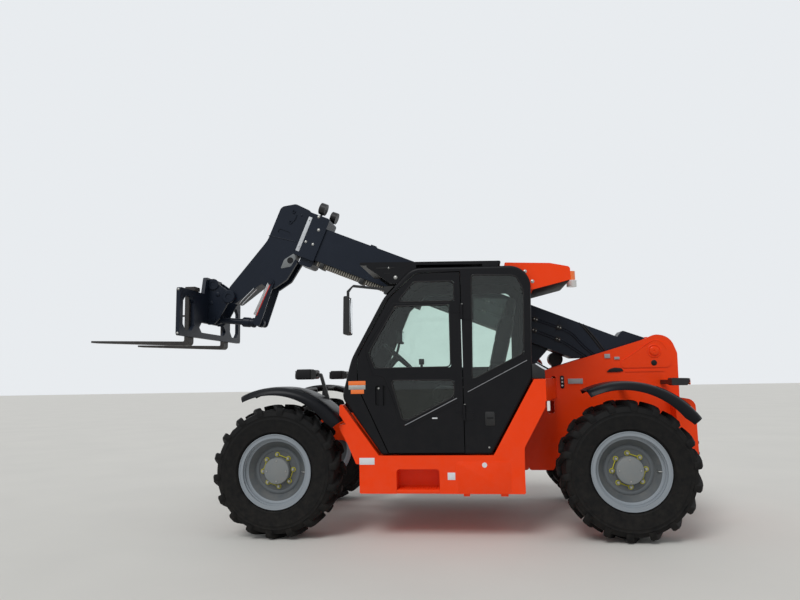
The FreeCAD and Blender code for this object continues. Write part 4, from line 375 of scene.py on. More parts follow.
# %% Bars, plates, turned parts and pipes
def loft(name, sections):
    """A closed bar drawn through sections that all have the same number of corners."""
    let_go()
    bpy.ops.mesh.primitive_circle_add(vertices=len(sections[0]), fill_type="NGON")
    piece = bpy.context.object
    piece.name = name
    for point, corner in zip(piece.data.vertices, sections[0]):
        point.co = corner
    for before, after in zip(sections, sections[1:]):
        bpy.ops.object.mode_set(mode="EDIT")
        bpy.ops.mesh.extrude_region_move(TRANSFORM_OT_translate={"value": (0, 0, 0)})
        bpy.ops.object.mode_set(mode="OBJECT")
        for point in piece.data.vertices:
            if point.select:
                nearest = min(range(len(before)), key=lambda n: (before[n] - point.co).length)
                point.co = after[nearest]
    bpy.ops.object.mode_set(mode="EDIT")
    bpy.ops.mesh.select_all(action="SELECT")
    bpy.ops.mesh.normals_make_consistent(inside=False)
    let_go()
    return piece


def side_plate(name, corners, y_near, y_far, place=at):
    """A flat plate seen from the side, from one distance out to another."""
    return loft(name, [[place(a, y, b) for a, b in corners] for y in (y_near, y_far)])


def block(name, x_span, y_span, z_span, place=at):
    """A straight-sided block."""
    (x0, x1), (z0, z1) = x_span, z_span
    corners = [(x0, z0), (x1, z0), (x1, z1), (x0, z1)]
    return side_plate(name, corners, *y_span, place)


def soften(piece, width, steps=2, angle=32):
    """Break the sharp edges with a small bevel."""
    hold(piece)
    edge = piece.modifiers.new("soft_edge", "BEVEL")
    edge.width, edge.segments = width / 1000, steps
    edge.limit_method, edge.angle_limit = "ANGLE", math.radians(angle)
    bpy.ops.object.modifier_apply(modifier=edge.name)
    return piece


def soft_block(name, x_span, y_span, z_span, edge, place=at):
    """A block with its edges broken."""
    return soften(block(name, x_span, y_span, z_span, place), edge)


def bar(name, start, end, radius, sides=20, edge=1.5):
    """A round bar between two places, with its ends chamfered."""
    let_go()
    run = end - start
    bpy.ops.mesh.primitive_cylinder_add(vertices=sides, radius=radius / 1000, depth=run.length,
                                        location=(start + end) / 2,
                                        rotation=run.to_track_quat("Z", "Y").to_euler())
    piece = bpy.context.object
    piece.name = name
    bpy.ops.object.transform_apply(location=True, rotation=True, scale=True)
    return soften(piece, edge, 1, 50) if edge else piece


def turned(name, profile, centre, axis, steps=48):
    """A part turned round an axis from a closed outline of (radius, distance along the axis)."""
    let_go()
    axis = axis.normalized()
    side = axis.orthogonal().normalized()
    bpy.ops.mesh.primitive_circle_add(vertices=len(profile), fill_type="NOTHING")
    piece = bpy.context.object
    piece.name = name
    for point, (radius, along) in zip(piece.data.vertices, profile):
        point.co = centre + side * (radius / 1000) + axis * (along / 1000)
    bpy.ops.object.mode_set(mode="EDIT")
    bpy.ops.mesh.select_all(action="SELECT")
    bpy.ops.mesh.spin(steps=steps, angle=2 * math.pi, center=centre, axis=axis)
    bpy.ops.mesh.select_all(action="SELECT")
    bpy.ops.mesh.remove_doubles(threshold=0.00001)
    bpy.ops.mesh.normals_make_consistent(inside=False)
    let_go()
    return piece


def dome_bolts(middles, axis, radius):
    """Round-headed bolts with their washers, one at each place."""
    head = [(0, 0), (radius * 1.25, 0), (radius * 1.25, 2), (radius, 2.5), (radius * 0.9, 6),
            (radius * 0.55, 8.5), (0, 9.5)]
    return [turned("bolt", head, middle, axis, 24) for middle in middles]


def pipe(name, points, radius, sides=3, smooth=True):
    """A bent pipe or hose through the points, closed at both ends."""
    let_go()
    line = bpy.data.curves.new(name, "CURVE")
    line.dimensions, line.bevel_depth, line.bevel_resolution = "3D", radius / 1000, sides
    line.use_fill_caps = True
    run = line.splines.new("NURBS" if smooth else "POLY")
    run.points.add(len(points) - 1)
    for spot, point in zip(run.points, points):
        spot.co = (*point, 1)
    if smooth:
        run.order_u, run.use_endpoint_u = 3, True
    piece = bpy.data.objects.new(name, line)
    bpy.context.scene.collection.objects.link(piece)
    hold(piece)
    bpy.ops.object.convert(target="MESH")
    return bpy.context.object


# %% Copies, joining and fitting
def copy_piece(piece, name, shift=None, turn=0.0, about=None, axis="Y"):
    """Another one with its own mesh, turned about a place and moved."""
    hold(piece)
    bpy.ops.object.duplicate(linked=False)
    made = bpy.context.object
    made.name = name
    about = about or Vector((0, 0, 0))
    made.matrix_world = (Matrix.Translation((shift or Vector((0, 0, 0))) + about)
                         @ Matrix.Rotation(turn, 4, axis) @ Matrix.Translation(-about))
    bpy.ops.object.transform_apply(location=True, rotation=True, scale=True)
    return made


def join(name, pieces):
    """Several meshes as one piece."""
    hold(*pieces)
    bpy.ops.object.join()
    made = bpy.context.object
    made.name = name
    return made


def fit(piece, body, finish, sharp=35):
    """Finish a piece and let it ride on its body."""
    hold(piece)
    piece.data.materials.clear()
    piece.data.materials.append(finish)
    bpy.ops.object.shade_smooth_by_angle(angle=math.radians(sharp))
    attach(piece, body)
    print(f"{piece.name}: {len(piece.data.polygons)} faces on {body}")
    return piece

# %% [markdown]
# ## Tyres
# A telehandler tyre is a round carcass with two rows of slanting rubber bars that meet
# like an arrow. The CAD tyre has flat sides, to keep it light, so a rounder one stands
# for it here. The carcass is one outline spun round the axle, with the bead and the
# thin ribs of the sidewall in it. A single lug is drawn through six sections that
# follow the tread, then copied eighteen times on each side.

# %% One round carcass
WHEEL_Y, AXLE_Z, WHEELBASE = 915, 590, 3080
wheel_middle = at(0, WHEEL_Y, AXLE_Z)
outwards = Vector((0, 1, 0))
SIDEWALL = [(306, 168), (331, 169), (338, 177), (343, 188), (351, 196), (355, 200), (360, 199),
            (380, 203), (425, 205), (461, 204), (465, 205), (469, 202.5), (490, 200), (494, 202),
            (498, 198), (514, 193), (536, 178), (547, 130), (552, 50)]
carcass_outline = SIDEWALL + [(radius, -along) for radius, along in reversed(SIDEWALL)]
carcass = turned("carcass", carcass_outline, wheel_middle, outwards, steps=90)
print("carcass faces", len(carcass.data.polygons))

# %% One lug, then the whole tread
TREAD_RADIUS, LUGS_PER_SIDE = 590, 18
LUG_STATIONS = [(12, 50, 50, 590, 540), (55, 24, 58, 590, 540), (115, -10, 62, 589, 538),
                (160, -36, 66, 582, 530), (188, -50, 70, 564, 515), (200, -54, 72, 528, 500)]


def lug_section(along, round_by, width, top, low, side):
    """The four corners of a lug at one distance from the middle of the tread."""
    corners = []
    for offset, radius in ((-0.5, low), (0.5, low), (0.42, top), (-0.42, top)):
        turned_by = (round_by + offset * width) / TREAD_RADIUS
        corners.append(wheel_middle + Vector((radius * math.sin(turned_by), along * side,
                                              radius * math.cos(turned_by))) / 1000)
    return corners


lugs = []
pitch = 2 * math.pi / LUGS_PER_SIDE
for side, start in ((1, 0), (-1, pitch / 2)):
    lug = soften(loft("lug", [lug_section(*station, side) for station in LUG_STATIONS]), 4, 1)
    lugs += [copy_piece(lug, "lug", turn=start + number * pitch, about=wheel_middle)
             for number in range(LUGS_PER_SIDE)]
    bpy.data.objects.remove(lug)
tyre = join("tyre_pattern", [carcass, *lugs])
print("tyre faces", len(tyre.data.polygons))

# %% [markdown]
# ## Wheel details
# The wheel is bolted on by eight nuts, tied in pairs by bright yellow indicators: if a
# nut turns, its pointer leaves its neighbour. Four small bolts hold the hub cap, the
# barrel has rolled steps, and a valve stem bends out beside the disc. Each of them is
# made once on the front left wheel and copied to the other three.

# %% Nuts, indicators and cap bolts
DISC_Y, CAP_Y, NUT_CIRCLE, CAP_BOLT_CIRCLE, NUTS, FIRST_NUT = 987, 1048, 141, 90, 8, -3


def on_wheel(degrees, radius, y):
    """A place on the front left wheel, by angle from its front edge and distance from the axle."""
    turned_by = math.radians(degrees)
    return at(radius * math.cos(turned_by), y, AXLE_Z + radius * math.sin(turned_by))


def wheel_bolt(name, degrees, circle, y_from, y_to, radius, sides):
    """A short bar that stands out of the disc."""
    return bar(name, on_wheel(degrees, circle, y_from), on_wheel(degrees, circle, y_to), radius, sides)


nut_angles = [FIRST_NUT + 360 / NUTS * number for number in range(NUTS)]
nuts = []
for angle in nut_angles:
    nuts.append(wheel_bolt("nut", angle, NUT_CIRCLE, DISC_Y - 1, DISC_Y + 18, 15, 6))
    nuts.append(wheel_bolt("stud", angle, NUT_CIRCLE, DISC_Y + 10, DISC_Y + 30, 8, 12))
nuts += [wheel_bolt("cap_bolt", angle, CAP_BOLT_CIRCLE, CAP_Y - 1, CAP_Y + 5, 8, 6)
         for angle in (0, 90, 180, 270)]
wheel_nuts = join("wheel_nuts", nuts)

links = []
for first, second in zip(nut_angles[::2], nut_angles[1::2]):
    for angle in (first, second):
        links.append(turned("ring", [(16, 2), (22, 2), (22, 7), (16, 7)],
                            on_wheel(angle, NUT_CIRCLE, DISC_Y), outwards, 24))
    a, b = (on_wheel(angle, NUT_CIRCLE, DISC_Y + 4) for angle in (first, second))
    run = (b - a).normalized()
    links.append(bar("link", a + run * 0.020, b - run * 0.020, 4.5, 8, 0))
nut_links = join("nut_links", links)

# %% Barrel steps, hub cap, disc and valve
def wheel_turned(name, profile, steps=72):
    """A part turned round the axle."""
    return turned(name, profile, wheel_middle, outwards, steps)


barrel_steps = join("barrel_steps", [
    wheel_turned("lip", [(324, 182), (330, 183), (332, 187), (328, 190), (321, 188)]),
    wheel_turned("seat_step", [(296, 160), (286, 158), (284, 152), (288, 148), (296, 147)]),
    wheel_turned("well_step", [(294, 136), (279, 134), (274, 128), (276, 124), (290, 130)]),
    wheel_turned("disc_ring", [(206, 71), (206, 78), (200, 81), (184, 81), (178, 78), (178, 71)])])
hub_cap = wheel_turned(
    "hub_cap", [(0, 60), (116, 60), (118, 64), (118, 122), (112, 131), (104, 133.5), (0, 134)], 64)
# A thin sheet over the disc, to carry the darker grey of its painted shade.
disc_shade_sheet = wheel_turned(
    "disc_shade_sheet", [(117, 71), (213, 71), (256.5, 121), (256, 123.5), (212, 73.3), (117, 73.3)], 64)
valve_stem = pipe("valve_stem", [on_wheel(182, radius, DISC_Y + out) for radius, out in
                                 ((226, 8), (228, 40), (244, 52), (262, 54))], 4.5)

# %% [markdown]
# ## Paint that knows its place on the wheel
# On a wheel, colour and painted shade run in rings. A Mapping node moves the pattern's middle to
# the axle, and the distance from there then picks the colour: a pale rim, a disc darkened
# as painted shade of the deep dish and a grey hub cap, or the fine moulded lines of a tyre's sidewall.

# %% Ring patterns for rims and tyres
CAP_EDGE, DISC_EDGE, TREAD_START = 0.107, 0.2585, 0.50


def centred_on_axle(tree, axle_x):
    """The pattern's place and its distance from the axle, as node outputs."""
    centre = add_node(tree, "Mapping", {"Vector": place_on(tree),
                                        "Location": (-axle_x, 0, -AXLE_Z / 1000)}).outputs[0]
    flat = add_node(tree, "VectorMath", {0: centre, 1: (1, 0, 1)}, operation="MULTIPLY")
    distance = add_node(tree, "VectorMath", {0: flat.outputs[0]}, operation="LENGTH")
    return centre, distance.outputs["Value"]


def feed(shader, socket):
    """The output that an input of the shader reads now."""
    return shader.inputs[socket].links[0].from_socket


def ringed_rim(name, axle_x):
    """Rim paint with a grey hub cap and a disc darkened as painted shade of the deep dish."""
    finish = rim_paint.copy()
    finish.name = name
    tree = finish.node_tree
    shader = tree.nodes["Principled BSDF"]
    rings = add_node(tree, "ValToRGB", {0: centred_on_axle(tree, axle_x)[1]})
    ramp = rings.color_ramp
    ramp.interpolation = "CONSTANT"
    # The hub keeps its own grey; the disc ring is darkened as painted shade of the deep dish.
    ramp.elements[0].color = (0.62, 0.62, 0.60, 1)
    ramp.elements[1].position, ramp.elements[1].color = CAP_EDGE, (0.40, 0.40, 0.39, 1)
    ramp.elements.new(DISC_EDGE).color = (1, 1, 1, 1)
    tone = blend(tree, 1, feed(shader, "Base Color"), rings.outputs[0], "MULTIPLY")
    wire(tree, shader, {"Base Color": tone})
    return finish


def ringed_rubber(name, axle_x):
    """Tyre rubber with fine moulded rings on its sidewall and a dusty tread."""
    finish = tyre_rubber.copy()
    finish.name = name
    tree = finish.node_tree
    shader = tree.nodes["Principled BSDF"]
    centred, distance = centred_on_axle(tree, axle_x)
    waves = add_node(tree, "TexWave", {"Vector": centred, "Scale": 36}, wave_type="RINGS",
                     rings_direction="Y")
    sidewall = remap(tree, distance, TREAD_START + 0.02, TREAD_START)
    height = combine(tree, "MULTIPLY", waves.outputs["Fac"], sidewall)
    wire(tree, shader, {"Normal": bump(tree, height, 0.25, 0.002, Normal=feed(shader, "Normal"))})
    return finish


REAR_AXLE_X = FRONT_AXLE_X - WHEELBASE / 1000
rims, rubbers = {}, {}
for end, axle_x in (("front", FRONT_AXLE_X), ("rear", REAR_AXLE_X)):
    rims[end] = ringed_rim(end + "_rim_paint", axle_x)
    rubbers[end] = ringed_rubber(end + "_tyre_rubber", axle_x)

# %% Copy them to all four wheels
WHEEL_PARTS = ((wheel_nuts, zinc_plate, "chrome"), (nut_links, yellow_plastic, "lens"),
               (barrel_steps, None, "rim"), (hub_cap, hub_paint, "rim"),
               (disc_shade_sheet, shaded_disc_paint, "rim"), (valve_stem, zinc_plate, "chrome"))
for end, shift_x in (("front", 0), ("rear", -WHEELBASE / 1000)):
    for side, turn in (("left", 0), ("right", math.pi)):
        wheel = f"{end}_{side}"
        shift = Vector((shift_x, 0, 0))
        tread_shift = shift + Vector((0, 0 if side == "left" else -2 * WHEEL_Y / 1000, 0))
        rubber = copy_piece(tyre, wheel + "_tyre_rubber", tread_shift)
        fit(rubber, wheel + "_wheel", rubbers[end], sharp=40)
        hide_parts(wheel + "_tyre")
        for part, finish, slot in WHEEL_PARTS:
            made = copy_piece(part, f"{wheel}_{part.name}", shift, turn, at(0, 0, AXLE_Z), "Z")
            fit(made, wheel + "_wheel", finish or rims[end])
        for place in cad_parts[wheel + "_rim"].material_slots:
            place.material = rims[end]
for pattern in (tyre, *[part for part, finish, slot in WHEEL_PARTS]):
    bpy.data.objects.remove(pattern)


# %% [markdown]
# ## The driver's seat
# A work seat is foam in a sewn cover: it bulges between its seams and pulls in at its
# corners, which a block never does. The CAD pads are copied, shrunk a little and given
# an even skin, then a cloth simulation blows that skin up with no gravity. The swelling
# is capped, the sewn channels are pressed in, and one subdivision smooths the skin.

# %% Pads from the CAD seat
PAD_SHRINK, SKIN_SIZE, SWELL_CAP, CHANNEL_DEPTH, CHANNEL_WIDTH = 0.008, 0.009, 0.012, 0.007, 0.010
SEAT_MIDDLE_Y, AIR_PRESSURE, CLOTH_FRAMES = 0.615, 4, 20


def shrunk_pads():
    """The seat's pads as one closed mesh, a little smaller than the CAD ones."""
    pads = bpy.data.objects.new("pads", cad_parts["seat_cushions"].data.copy())
    bpy.context.scene.collection.objects.link(pads)
    hold(pads)
    bpy.ops.object.mode_set(mode="EDIT")
    bpy.ops.mesh.select_all(action="SELECT")
    bpy.ops.mesh.remove_doubles(threshold=0.0001)
    bpy.ops.mesh.normals_make_consistent(inside=False)
    bpy.ops.transform.shrink_fatten(value=-PAD_SHRINK)
    bpy.ops.object.mode_set(mode="OBJECT")
    return pads


seat_pads = shrunk_pads()
print("seat pads", len(seat_pads.data.vertices))

# %% Blow up the cover, press in the seams
def skin(piece):
    """An even skin of small faces."""
    hold(piece)
    even = piece.modifiers.new("even_skin", "REMESH")
    even.mode, even.voxel_size = "VOXEL", SKIN_SIZE
    bpy.ops.object.modifier_apply(modifier=even.name)


def blow_up(piece):
    """Swell the skin with cloth pressure, no further than the cap."""
    start = [point.co.copy() for point in piece.data.vertices]
    cover = piece.modifiers.new("cover", "CLOTH")
    cover.settings.use_pressure = True
    cover.settings.uniform_pressure_force = AIR_PRESSURE
    cover.settings.effector_weights.gravity = 0
    cover.point_cache.frame_end = CLOTH_FRAMES
    for number in range(1, CLOTH_FRAMES + 1):
        bpy.context.scene.frame_set(number)
    hold(piece)
    bpy.ops.object.modifier_apply(modifier=cover.name)
    for point, before in zip(piece.data.vertices, start):
        move = point.co - before
        if move.length > SWELL_CAP:
            point.co = before + move.normalized() * SWELL_CAP
    bpy.context.scene.frame_set(1)


def sew(piece, seams):
    """Press a channel into the skin along each seam, a place on one axis."""
    for point in piece.data.vertices:
        for axis, place in seams:
            near = abs(point.co[axis] - place)
            if near < CHANNEL_WIDTH * 2:
                dip = CHANNEL_DEPTH * math.exp(-(near / CHANNEL_WIDTH) ** 2 * 2)
                point.co -= point.normal * dip


SEAT_SEAMS = [(1, SEAT_MIDDLE_Y - 0.13), (1, SEAT_MIDDLE_Y + 0.13), (0, -0.72), (2, 1.335), (2, 1.52),
              (2, 1.74), (2, 1.945)]
skin(seat_pads)
blow_up(seat_pads)
sew(seat_pads, SEAT_SEAMS)
hold(seat_pads)
smooth = seat_pads.modifiers.new("smooth_cover", "SUBSURF")
smooth.levels = smooth.render_levels = 1
bpy.ops.object.modifier_apply(modifier=smooth.name)
seat_pads.name = "seat_cover_and_foam"
fit(seat_pads, "chassis", seat_cloth, sharp=180)
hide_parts("seat_cushions")

# %% [markdown]
# ## The cab's windows and door
# Each pane sits in a rubber bead that rounds the corners of its opening. A pressed
# crease frames the lower glass and stiffens the sheet below the rear window: the pale
# grey along part of it is a painted highlight where the crease catches the light. A bead
# is a thin pipe along the outline of the opening, and its corners are rounded by short arcs.

# %% Rubber beads round the panes
def rounded(corners, radius, steps=5):
    """The outline with each corner replaced by a short arc."""
    made = []
    for number, corner in enumerate(corners):
        corner = Vector(corner)
        before = Vector(corners[number - 1]) - corner
        after = Vector(corners[(number + 1) % len(corners)]) - corner
        reach = min(radius, before.length / 2, after.length / 2)
        start, end = corner + before.normalized() * reach, corner + after.normalized() * reach
        for step in range(steps + 1):
            t = step / steps
            made.append(tuple(start * (1 - t) ** 2 + corner * 2 * t * (1 - t) + end * t ** 2))
    return made


def bead(name, corners, y, thick, radius=45):
    """A closed strip of rubber round an opening, seen from the side."""
    points = [at(x, y, z) for x, z in rounded(corners, radius)]
    return pipe(name, points + points[:2], thick, 2, smooth=False)


BEAD_Y, RAISED_BEAD_Y, BEAD_RADIUS = 1043, 1046, 6
WINDOWS = (
    ("main_window_bead", "door", [(-1592, 1493), (-1592, 2049), (-1104, 2049), (-853, 1630), (-911, 1493)]),
    ("quarter_window_bead", "door", [(-1637, 2081), (-1637, 2262), (-1274, 2269), (-1124, 2091)]),
    ("low_window_bead", "door", [(-1617, 1233), (-1617, 1376), (-1055, 1383), (-1150, 1038), (-1193, 1026)]),
    ("rear_window_bead", "chassis", [(-1778, 1377), (-1798, 2314), (-2193, 2294), (-2255, 2160),
                                     (-2237, 1602)]))
for name, body, corners in WINDOWS:
    bead_y = RAISED_BEAD_Y if name.startswith("low") else BEAD_Y
    fit(bead(name, corners, bead_y, BEAD_RADIUS), body, hose_rubber)

# %% Pressed creases with a painted highlight on their edge
# A painted highlight: the pale grey stands for light caught along the crease.
crease_highlight_paint = new_finish("crease_highlight_paint", (0.26, 0.265, 0.28), 0.34, mottle=0.3, mottle_scale=8, grain=0.05)
crease = [(-1639, 1217), (-1174, 986), (-1141, 1000), (-1034, 1298), (-985, 1415), (-888, 1434),
          (-828, 1614), (-828, 1676), (-1090, 2073), (-1600, 2066)]
lit_crease_line = [at(x, 1049.5, z) for x, z in crease[:2]]
fit(pipe("door_crease", lit_crease_line, 3.2, 2, False), "door", crease_highlight_paint)
frame_line = [at(x, 1047 if x > -1180 and z < 1400 else 1045, z) for x, z in crease[1:]]
fit(pipe("door_crease_frame", frame_line, 3, 2, False), "door", cab_paint)
rear_line = places(at, (-1736, 1044.5, 1270), (-2262, 1044.5, 1538))
fit(pipe("rear_panel_crease", rear_line, 2.6, 2, False), "chassis", crease_highlight_paint)

# %% Lock, latch, vent and the blank plates
lock = [bar("barrel", at(-941, 1018, 1314), at(-941, 1047, 1314), 9, 16)]
lock += [bar("hinge_pin", at(-1707, 1059, z), at(-1707, 1059, z + 7), 9, 12) for z in (1159, 2047)]
fit(join("door_lock", lock), "door", zinc_plate)
latch_outline = rounded([(-1881, 976), (-1881, 1096), (-1964, 1096), (-1964, 976)], 14, 3)
fit(soften(side_plate("rear_latch_plate", latch_outline, 1044, 1050), 2), "chassis", moulded_plastic)
for name, x_span, y_span, z_span, edge, body, finish, slot in (
        ("rear_latch_slot", (-1952, -1893), (1049, 1052), (1034, 1052), 1.5, "chassis", dark_plastic,
         "plastic"),
        ("door_vent_plate", (-1463, -1416), (1044, 1047), (1039, 1050), 1, "door", white_paint, "cab")):
    fit(soft_block(name, x_span, y_span, z_span, edge), body, finish)
fit(bar("rear_panel_screw", at(-1908, 1043, 789), at(-1908, 1048, 789), 8, 12), "chassis", zinc_plate)
reflector = join("front_reflector", [
    soft_block("top_plate", (-823, -666), (1044, 1047), (1345, 1382), 1),
    soft_block("low_plate", (-808, -688), (1044, 1047), (1268, 1305), 1)])
fit(reflector, "chassis", amber_lens)
fit(soft_block("front_reflector_band", (-822, -668), (1044, 1048), (1306, 1344), 1), "chassis",
    zinc_plate)

# %% [markdown]
# ## Inside and in front of the glass
# Through the tinted panes the photograph shows a screen, the wiper and its arm. They
# are small and half hidden, but a cab without them looks like a showcase. Each is a
# softened block or a bent pipe that is fixed to the dashboard or the windscreen frame.

# %% Screen on its arm
screen = soften(block("display_box", (-1138, -1085), (690, 850), (1722, 1842)), 8, 3)
fit(screen, "chassis", dark_plastic)
fit(soft_block("display_glass", (-1141, -1137), (704, 836), (1738, 1828), 2), "chassis",
    mirror_glass)
arm_line = places(at, (-1100, 770, 1726), (-1090, 770, 1660), (-1040, 760, 1560), (-1000, 740, 1440))
fit(pipe("display_arm", arm_line, 12), "chassis", dark_plastic)

# %% The wiper, with its blade laid along the windscreen
WIPER_TIP = at(-868, 610, 1835)
wiper = join("windscreen_wiper", [
    pipe("arm", [*places(at, (-648, 420, 1330), (-690, 440, 1480), (-795, 560, 1700)), WIPER_TIP], 8),
    soft_block("blade", (-12, 12), (-6, 6), (-300, 300), 4)])
for point in wiper.data.vertices:
    if point.co.x > FRONT_AXLE_X - 0.1:
        away = point.co - at(0, 0, 0)
        point.co = WIPER_TIP + Vector((away.x - 0.53 * away.z, away.y + 0.10 * away.z, 0.84 * away.z))
fit(wiper, "chassis", dark_plastic)

# %% Keys on the console
KEY_PITCH, KEY_COUNT = 42, 6
keys = [soft_block("key", (-1760 + KEY_PITCH * n, -1730 + KEY_PITCH * n), (290, 320), (1388, 1396), 3)
        for n in range(KEY_COUNT)]
fit(join("console_keys", keys), "chassis", white_paint)

# %% [markdown]
# ## Roof, mirror and beacon
# The sun visor has two long slots and a bolt in its side plate, the rear cover is held
# by round-headed bolts and is black below, the mirror shows its glass to the driver,
# and the beacon has a white foot under its amber dome.

# %% Roof and mirror fittings
slots = join("visor_slots", [
    soft_block("long_slot", (-1103, -931), (1024, 1026.5), (2402, 2413), 1),
    soft_block("short_slot", (-1077, -1002), (1024, 1026.5), (2355, 2360), 1)])
fit(slots, "chassis", dark_plastic)
roof_bolts = dome_bolts(places(at, (-1109, 1025, 2317), (-2280, 985, 2335), (-2342, 985, 2242)), outwards, 13)
roof_bolts += dome_bolts([at(-1047, 1025, 2407)], outwards, 6)
roof_bolts += dome_bolts(places(at, (-2280, 245, 2335), (-2342, 245, 2242)), -outwards, 13)
fit(join("roof_bolts", roof_bolts), "chassis", zinc_plate)
underside = [(-2670, 2250), (-2350, 2173), (-2350, 2166), (-2670, 2243)]
fit(soften(side_plate("rear_cover_underside", underside, 262, 968), 1), "chassis", dark_plastic)
mirror_outline = rounded([(977, 1812), (1101, 1812), (1101, 2138), (977, 2138)], 40, 4)
mirror_face = loft("mirror_face", [[at(x, y, z) for y, z in mirror_outline] for x in (-692, -697)])
fit(soften(mirror_face, 1.5), "chassis", mirror_glass)

# %% The beacon's white foot
FOOT_TOP = 2.283
beacon_finish = amber_lens.copy()
beacon_finish.name = "beacon_finish"
tree = beacon_finish.node_tree
shader = tree.nodes["Principled BSDF"]
height = add_node(tree, "SeparateXYZ", {0: place_on(tree)}).outputs["Z"]
is_foot = combine(tree, "LESS_THAN", height, FOOT_TOP)
wire(tree, shader, {"Base Color": blend(tree, is_foot, feed(shader, "Base Color"), (0.62, 0.62, 0.60))})
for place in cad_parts["beacon"].material_slots:
    place.material = beacon_finish
fit(turned("beacon_ring", [(38, 2278), (47, 2278), (47, 2284), (40, 2288), (37, 2286)],
           at(-2732, 640, 0), Vector((0, 0, 1)), 32), "chassis", white_paint)

# %% [markdown]
# ## The boom: collar, strip and hose lines
# The outer tube ends in a collar whose bolts hold the wear pads, and a white scale
# strip is screwed to its side. Two steel lines run along the tube in clips, and the
# hoses for the head travel under it in a ribbed chain. Lines are pipes through a few
# points measured along the boom; the chain is one rib, copied at its pitch.

# %% Collar bolts
COLLAR_FACE = 168


def boom_bolts(radius, *points):
    """Bolt heads on a boom plate that faces left."""
    return dome_bolts(places(on_boom, *points), outwards, radius)


collar_bolts = boom_bolts(12, (3725, COLLAR_FACE, 112), (3671, COLLAR_FACE, -23))
collar_bolts += boom_bolts(11, (3755, COLLAR_FACE, -192), (3671, COLLAR_FACE, -192))
collar_bolts += dome_bolts(places(on_boom, (3725, -COLLAR_FACE, 112), (3671, -COLLAR_FACE, -23),
                                  (3755, -COLLAR_FACE, -192), (3671, -COLLAR_FACE, -192)), -outwards, 12)
fit(join("collar_bolts", collar_bolts), "boom", zinc_plate)

# %% The scale strip
def hatched(name, pale, dark, scale, slant):
    """Pale paint with fine slanting bars, as on a marking strip."""
    finish = white_paint.copy()
    finish.name = name
    tree = finish.node_tree
    turn = add_node(tree, "Mapping", {"Vector": place_on(tree), "Rotation": (0, slant, 0)})
    bars = add_node(tree, "TexWave", {"Vector": turn.outputs[0], "Scale": scale})
    tone = blend(tree, remap(tree, bars.outputs["Fac"], 0.55, 0.70), pale, dark)
    wire(tree, tree.nodes["Principled BSDF"], {"Base Color": tone})
    return finish


strip_finish = hatched("scale_strip_finish", (0.68, 0.70, 0.72), (0.42, 0.45, 0.49), 38, 0.6)
strip_outline = [(3786, -318), (3828, -318), (3828, 80), (3786, 80)]
strip = soften(side_plate("scale_strip", strip_outline, COLLAR_FACE, COLLAR_FACE + 3, on_boom), 1)
fit(strip, "boom", strip_finish)
screws = boom_bolts(5, (3807, COLLAR_FACE + 3, 40), (3807, COLLAR_FACE + 3, -262))
fit(join("scale_strip_screws", screws), "boom", zinc_plate)

# %% Steel lines along the boom
UPPER_LINE = [(2150, -95), (1206, -99), (860, -88), (760, -112), (690, -158), (560, -210), (470, -238)]
LOWER_LINE = [(2150, -205), (1173, -208), (850, -208), (720, -240), (600, -268), (520, -290)]
LINE_GAP, LINE_OUT, LINE_END_OUT = 22, 156, 140
line_pipes = []
for run in (UPPER_LINE, LOWER_LINE):
    for offset in (0, LINE_GAP):
        (first, first_up), (last, last_up) = run[0], run[-1]
        line_pipes.append(pipe("line", places(
            on_boom, (first + 30, LINE_END_OUT, first_up - offset),
            *[(along, LINE_OUT, up - offset) for along, up in run],
            (last - 30, LINE_END_OUT, last_up - offset - 10)), 5.5))
cross_line = places(on_boom, (950, 142, -165), (948, 153, -160), (944, 153, -10), (943, 142, -2))
fit(join("boom_steel_lines", [*line_pipes, pipe("line", cross_line, 4)]), "boom", boom_paint)

# %% Clips and straps
CLIP_SPOTS = ((1180, -98), (930, -91), (1150, -208), (900, -208), (1700, -97), (1700, -206))
clips = [soft_block("clip", (along - 26, along + 26), (150, 165), (up - 36, up + 14), 3, on_boom)
         for along, up in CLIP_SPOTS]
fit(join("line_clips", clips), "boom", hose_rubber)
clip_screws = boom_bolts(6, *[(along + side, 165, up - 11) for along, up in CLIP_SPOTS for side in (-14, 14)])
fit(join("line_clip_screws", clip_screws), "boom", zinc_plate)
STRAP_RUN = ((753, 140, 14), (753, 154, 12), (604, 158, -70), (455, 154, -170), (450, 140, -172))
straps = [pipe("strap", [on_boom(along - shift, across, up) for along, across, up in STRAP_RUN], 7)
          for shift in (0, 40)]
fit(join("rear_boom_straps", straps), "boom", hose_rubber)

# %% The hose chain under the tube
guide_plastic = new_finish("guide_plastic", (0.24, 0.22, 0.18), 0.55, mottle=0.25, mottle_scale=9,
                           grain=0.2, grain_scale=200)
RIB_PITCH, CHAIN_FROM, CHAIN_TO = 26, 2500, 3570
rib = soften(block("rib", (CHAIN_FROM, CHAIN_FROM + 15), (16, 134), (-394, -345), on_boom), 2, 1)
chain_step = on_boom(RIB_PITCH, 0, 0) - on_boom(0, 0, 0)
rib_count = (CHAIN_TO - CHAIN_FROM) // RIB_PITCH
ribs = [rib, *[copy_piece(rib, "rib", chain_step * number) for number in range(1, rib_count)]]
fit(join("hose_chain_ribs", ribs), "boom", guide_plastic)
clamps = [soft_block("clamp", (along, along + 52), (4, 148), (-408, -343), 5, on_boom)
          for along in (3470, 3000)]
fit(join("hose_chain_clamps", clamps), "boom", moulded_plastic)
CHAIN_HOSE_RUN = ((2350, -350), (2200, -352), (1900, -349), (1500, -338), (1250, -320))
chain_hoses = [pipe("hose", [on_boom(along, across, up) for along, up in CHAIN_HOSE_RUN], 10)
               for across in (40, 68, 96)]
fit(join("boom_underside_hoses", chain_hoses), "boom", hose_rubber)

# %% [markdown]
# ## The goose-neck head
# The head carries the tilt gear and the fittings for its cylinder: a round boss, a
# greasing pipe, a weld seam across its side, hoses that drop out of it and a grey
# plate with a hose hole. They all ride on the inner tube and move out with it.

